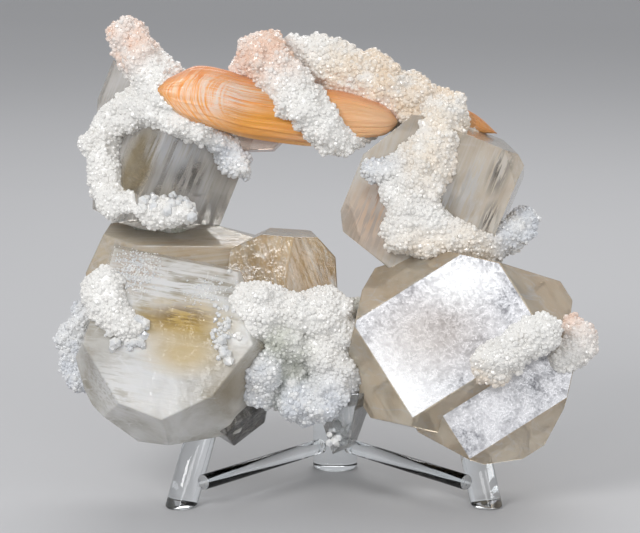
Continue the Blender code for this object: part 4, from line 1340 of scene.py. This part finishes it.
def rail(node, leg_foot, leg_top, side, finish, end_finish):
    """Thin rod glued along one front leg, running back to the thick leg.

    side is 1 for the left rail and -1 for the right one.
    """
    foot = on_ground(leg_foot)
    line = (Vector(leg_top) * MM + SHIFT - foot).normalized()
    beside = foot + line * (RAIL_HEIGHT / line.z)
    back = on_ground(BACK_FOOT, RAIL_HEIGHT)
    aside = side * -RAIL_ASIDE * BACK_LEG_R
    target = back + Vector((aside, -RAIL_AHEAD * BACK_LEG_R, 0))
    run = target - beside
    run.z = 0
    run.normalize()
    off = Vector((side * run.y, -side * run.x, 0))
    apart = run.cross(line).normalized()
    room = (FRONT_LEG_R + RAIL_R + GAP) / abs(off.dot(apart))
    start = beside + off * room - run * RAIL_OVERHANG
    bm = rod(start, target + run * RAIL_PAST, RAIL_R, sides=RAIL_SIDES)
    front_end = max(bm.faces, key=lambda face: face.normal.dot(-run) * (len(face.verts) > 4))
    front_end.material_index = 1
    ease_edge(bm, front_end, RAIL_ROUNDED_EDGE, RAIL_ROUNDED_STEPS)
    made = new_object(node + "_rod", bm, finish, end_finish)
    height = Vector((0, 0, JOINT_REACH))
    joint = rod(back - height, back + height, BACK_LEG_R + GAP)
    return belongs(cut_away(made, joint, smooth_under=ROD_CREASE), "clear_acrylic", node)


# the studio

def plain_finish(name, colour, roughness):
    made, shading, shader = new_material(name, Roughness=roughness)
    grain = shading.ramp(shading.noise(shading.place(), 3.0), 0.3, 0.7)
    paler = tuple(min(1, value * 1.02) for value in colour)
    shading.feed(shader.inputs["Base Color"], shading.mix(grain, colour, paler))
    return made


def floor():
    bm = bmesh.new()
    bmesh.ops.create_grid(bm, x_segments=1, y_segments=1, size=FLOOR_REACH)
    bmesh.ops.translate(bm, vec=(0, 0, -FLOOR_DROP), verts=bm.verts[:])
    new_object("floor", bm, plain_finish("pale_floor", FLOOR_TONE, 0.6))


def softbox(name, place, target, size, power):
    light = bpy.data.lights.new(name, "AREA")
    light.shape = "RECTANGLE"
    light.size, light.size_y = size
    light.energy = power
    made = bpy.data.objects.new(name, light)
    made.location = place
    made.rotation_mode = "QUATERNION"
    made.rotation_quaternion = (place - target).to_track_quat("Z", "Y")
    bpy.context.scene.collection.objects.link(made)


def studio():
    world = bpy.data.worlds.new("studio")
    world.use_nodes = True
    room = world.node_tree.nodes["Background"]
    room.inputs["Color"].default_value = ROOM_TONE
    room.inputs["Strength"].default_value = ROOM_STRENGTH
    bpy.context.scene.world = world
    bpy.context.scene.view_settings.view_transform = "Standard"
    middle = seen(0, 0, 0)
    for name, (off, size, power) in LAMPS.items():
        softbox(name, middle + Vector(off), middle, size, power)
    floor()


def camera():
    data = bpy.data.cameras.new("front view")
    data.sensor_width = SENSOR
    data.lens = SENSOR / 2 * VIEW_DISTANCE / HALF_WIDTH
    data.clip_start, data.clip_end = CLIP
    made = bpy.data.objects.new("front view", data)
    target = Vector((0, 0, VIEW_HEIGHT)) + SHIFT
    made.location = target + FORWARD * VIEW_DISTANCE
    made.rotation_mode = "QUATERNION"
    made.rotation_quaternion = FORWARD.to_track_quat("Z", "Y")
    bpy.context.scene.collection.objects.link(made)
    bpy.context.scene.camera = made


PURE_WHITE = linear(255, 255, 255)
BEIGE = linear(234, 208, 172)
PALE_BEIGE = linear(247, 234, 212)

# what glassy_side takes for each crystal; (0, 0, 1) looks towards the viewer
SIDES = {
    "lower_right_front": dict(
        name="lower_right_side", along=LOWER_RIGHT_AXIS, first=LOWER_RIGHT_FACE, deep=BEIGE,
        pale=PALE_BEIGE, lines=0.0),
    "lower_right_back": dict(
        name="lower_right_back_side", along=LOWER_RIGHT_AXIS, first=LOWER_RIGHT_FACE,
        deep=linear(230, 212, 186), pale=PALE_BEIGE, lines=0.0),
    "upper_right": dict(
        name="upper_right_side", along=UPPER_RIGHT_AXIS, first=UPPER_RIGHT_FACE,
        deep=linear(224, 204, 178), pale=linear(250, 242, 228), lines=0.4, bands=0.15,
        line_depth=0.12 * MM,
        stains_and_light=[(linear(150, 98, 60), 0.8, (79.5, 29, 12), (1.5, 5, 9), 22, 0.3),
                (linear(240, 206, 176), 1.0, (22, 20, 18), (10, 12, 14)),
                (linear(250, 240, 228), 0.7, (30, 12, 18), (7, 5, 9)),
                (linear(150, 104, 72), 0.9, (28, 31, 18), (7, 5, 9))],
        streaks=[(linear(52, 50, 50), 0.85, (74.3, 40, 22), (3.0, 8, 9), 22, 0.7),
                 (linear(60, 56, 56), 0.85, (69.5, 19, 22), (2.6, 6, 9), 22, 0.7),
                 (PURE_WHITE, 1.0, (51, 27, 24), (4, 9, 9), 22, 0.3),
                 (linear(240, 240, 240), 0.8, (62, 33, 24), (3, 14, 9), 22, 0.3),
                 (linear(255, 246, 236), 1.0, (24, 20, 18), (10, 12, 14)),
                 (linear(140, 104, 78), 0.5, (20, 18, 18), (9, 10, 14))]),
    "upper_left": dict(
        name="upper_left_side", along=UPPER_LEFT_AXIS, first=UPPER_LEFT_FACE,
        deep=linear(196, 190, 180), pale=linear(240, 236, 230), transmission=0.72, lines=0.7,
        bands=0.5, line_depth=0.15 * MM,
        stains_and_light=[(linear(158, 136, 86), 0.85, (-75, 42, 14), (8, 15, 14), 22, 0.3),
                (linear(110, 98, 88), 0.6, (-56, 24, 18), (9, 4, 14))],
        streaks=[(linear(250, 252, 255), 1.0, (-46, 33, 18), (5, 16, 14), 22, 0.3),
                 (linear(60, 60, 64), 0.8, (-54, 38, 18), (6, 8, 14), 22, 0.4),
                 (linear(244, 246, 250), 0.9, (-60, 48, 18), (10, 7, 14), 0, 0.5)]),
    "lower_left_front": dict(
        name="milky", along=(1, -0.18, 0), first=MILKY_FACE, deep=linear(176, 168, 150),
        pale=linear(255, 254, 250), transmission=0.36, lines=0.3, bands=0.08, crack=1.0, veils=1.8,
        line_depth=0.12 * MM,
        # the yellow patch first in this list is a painted glow inside the crystal
        stains_and_light=[(linear(214, 178, 88), 0.9, (-58, -23, 32), (16, 8, 12)),
                (PURE_WHITE, 0.8, (-68, -42, 34), (16, 10, 12), 0, 0.8),
                (linear(232, 206, 150), 0.8, (-56, -36, 34), (13, 7, 8)),
                (linear(222, 200, 182), 0.7, (-76, 0, 26), (10, 9, 12)),
                (linear(178, 164, 138), 0.8, (-36, -52, 30), (11, 14, 14)),
                (linear(255, 253, 248), 0.75, (-62, -60, 24), (16, 8, 14), 0, 0.8),
                (linear(164, 158, 148), 0.6, (-92, -40, 26), (7, 14, 20), 0, 0.8)],
        streaks=[(PURE_WHITE, 1.0, (-58, -4, 28), (30, 11, 14)),
                 (linear(120, 92, 44), 0.7, (-58, -20, 32), (11, 4, 12)),
                 (PURE_WHITE, 0.8, (-80, -50, 30), (12, 12, 14))]),
    "lower_left_back": dict(
        name="tan_back", along=(1, 0.1, 0), first=MILKY_FACE, deep=linear(218, 190, 150),
        pale=linear(240, 224, 198), lines=0.45, bands=0.25, line_depth=0.12 * MM,
        # the pale patch along the top is painted light, brightening the top where the upper left
        # crystal shades it
        stains_and_light=[(linear(255, 250, 238), 0.95, (-58, 18, 0), (34, 6, 20))]),
    "middle_back": dict(
        name="honey", along=(0.3, -0.95, 0), first=MILKY_FACE, deep=linear(222, 182, 124),
        pale=linear(240, 216, 176), lines=0.3, bands=0.3, line_depth=0.1 * MM),
    "hidden_back": dict(
        name="back_block", along=BACK_AXIS, first=BACK_FACE, deep=linear(190, 178, 158),
        pale=linear(218, 210, 196)),
    "dark_tip": dict(
        name="smoky", along=(0.3, -0.9, 0), first=(0, 0, 1), deep=linear(110, 104, 96),
        pale=linear(196, 192, 186), transmission=0.7, bands=0.9, crack=0.9),
    "hanging_tip": dict(
        name="icy", along=(0.1, -1, 0), first=(0, 0, 1), deep=linear(186, 190, 192),
        pale=linear(240, 242, 244), transmission=0.85),
    "clear_chip": dict(
        name="pink_chip", along=(1, 0, 0), first=(0, 0, 1), deep=linear(204, 172, 150),
        pale=linear(236, 220, 208), transmission=0.8),
}

# the crystals whose flat end has its own finish, and what pearly_end takes for it
ENDS = {
    "lower_right_front": dict(
        name="lower_right_end", along=LOWER_RIGHT_AXIS, first=LOWER_RIGHT_FACE,
        # the two pure white patches are painted highlights, where the flat end reflects the lamps
        stains_and_light=[(PURE_WHITE, 0.9, (30, -58, 34), (20, 26, 12)),
                (linear(172, 160, 150), 0.55, (47, -27, 34), (20, 14, 12)),
                (PURE_WHITE, 0.7, (58, -6, 34), (12, 9, 12))]),
    "lower_right_back": dict(
        name="lower_right_back_end", along=LOWER_RIGHT_AXIS, first=LOWER_RIGHT_FACE),
}

# the prism faces that grew in parallel leaves: the long axis, the face and its steps
LEAVES = {
    "upper_right": (UPPER_RIGHT_AXIS, UPPER_RIGHT_FACE, [(-12, -8.5, 0.9), (10, 17, 1.1)]),
    "upper_left": (UPPER_LEFT_AXIS, UPPER_LEFT_FACE, [(-9, -3, 1.2), (4, 9, 0.8)]),
}


def crystals():
    grown_together("apophyllite_crystals", [crystal(name) for name in CRYSTALS])
    veils(veil_finish())
    loose_quartz(clear_quartz_finish())


def stilbites():
    orange = stilbite_finish()
    sheaf("stilbite_sheaf",
          [(-67, 73, 24), (-64, 72.2, 23.5), (-59, 71.2, 23), (-52.5, 71, 22), (-46.5, 70.3, 20),
           (-38.5, 68.4, 17), (-30, 66.1, 14), (-12.5, 63.4, 12), (-1.5, 62, 11.5), (8.5, 62, 12),
           (17, 61.5, 13), (27, 60.3, 13), (32, 59.8, 12)],
          [0.8, 4.6, 8.2, 11.4, 12.4, 12.8, 12.6, 12.3, 11.8, 10.4, 8.6, 5.8, 0.8], 8.5, orange)
    sheaf("small_sheaf",
          [(73, 55, -14), (67.5, 57.8, -13), (61, 60.5, -12), (52, 63, -11), (40, 64, -10)],
          [0, 2.6, 4.2, 4.6, 0], 4.5, orange)


def druses():
    finish = druse_finish()
    shapes = quartz_points(finish)
    for number, (name, chains) in enumerate(LUMPS.items()):
        druse(name, chains, shapes, finish, seed=10 * number)
    for point in list(shapes.objects):
        bpy.data.objects.remove(point, do_unlink=True)
    bpy.data.collections.remove(shapes)


def stand():
    acrylic = acrylic_finish()
    leg("leg_left", LEFT_FOOT, LEFT_LEG_TOP, FRONT_LEG_R, acrylic,
        ("lower_left_front", "dark_tip"))
    leg("leg_right", RIGHT_FOOT, RIGHT_LEG_TOP, FRONT_LEG_R, acrylic,
        ("lower_right_front", "lower_right_back"))
    leg("leg_back", BACK_FOOT, BACK_LEG_TOP, BACK_LEG_R, acrylic, ("hidden_back",))
    sawn = sawn_finish()
    rail("rail_left", LEFT_FOOT, LEFT_LEG_TOP, 1, acrylic, sawn)
    rail("rail_right", RIGHT_FOOT, RIGHT_LEG_TOP, -1, acrylic, sawn)


camera()
studio()
crystals()
stilbites()
druses()
stand()
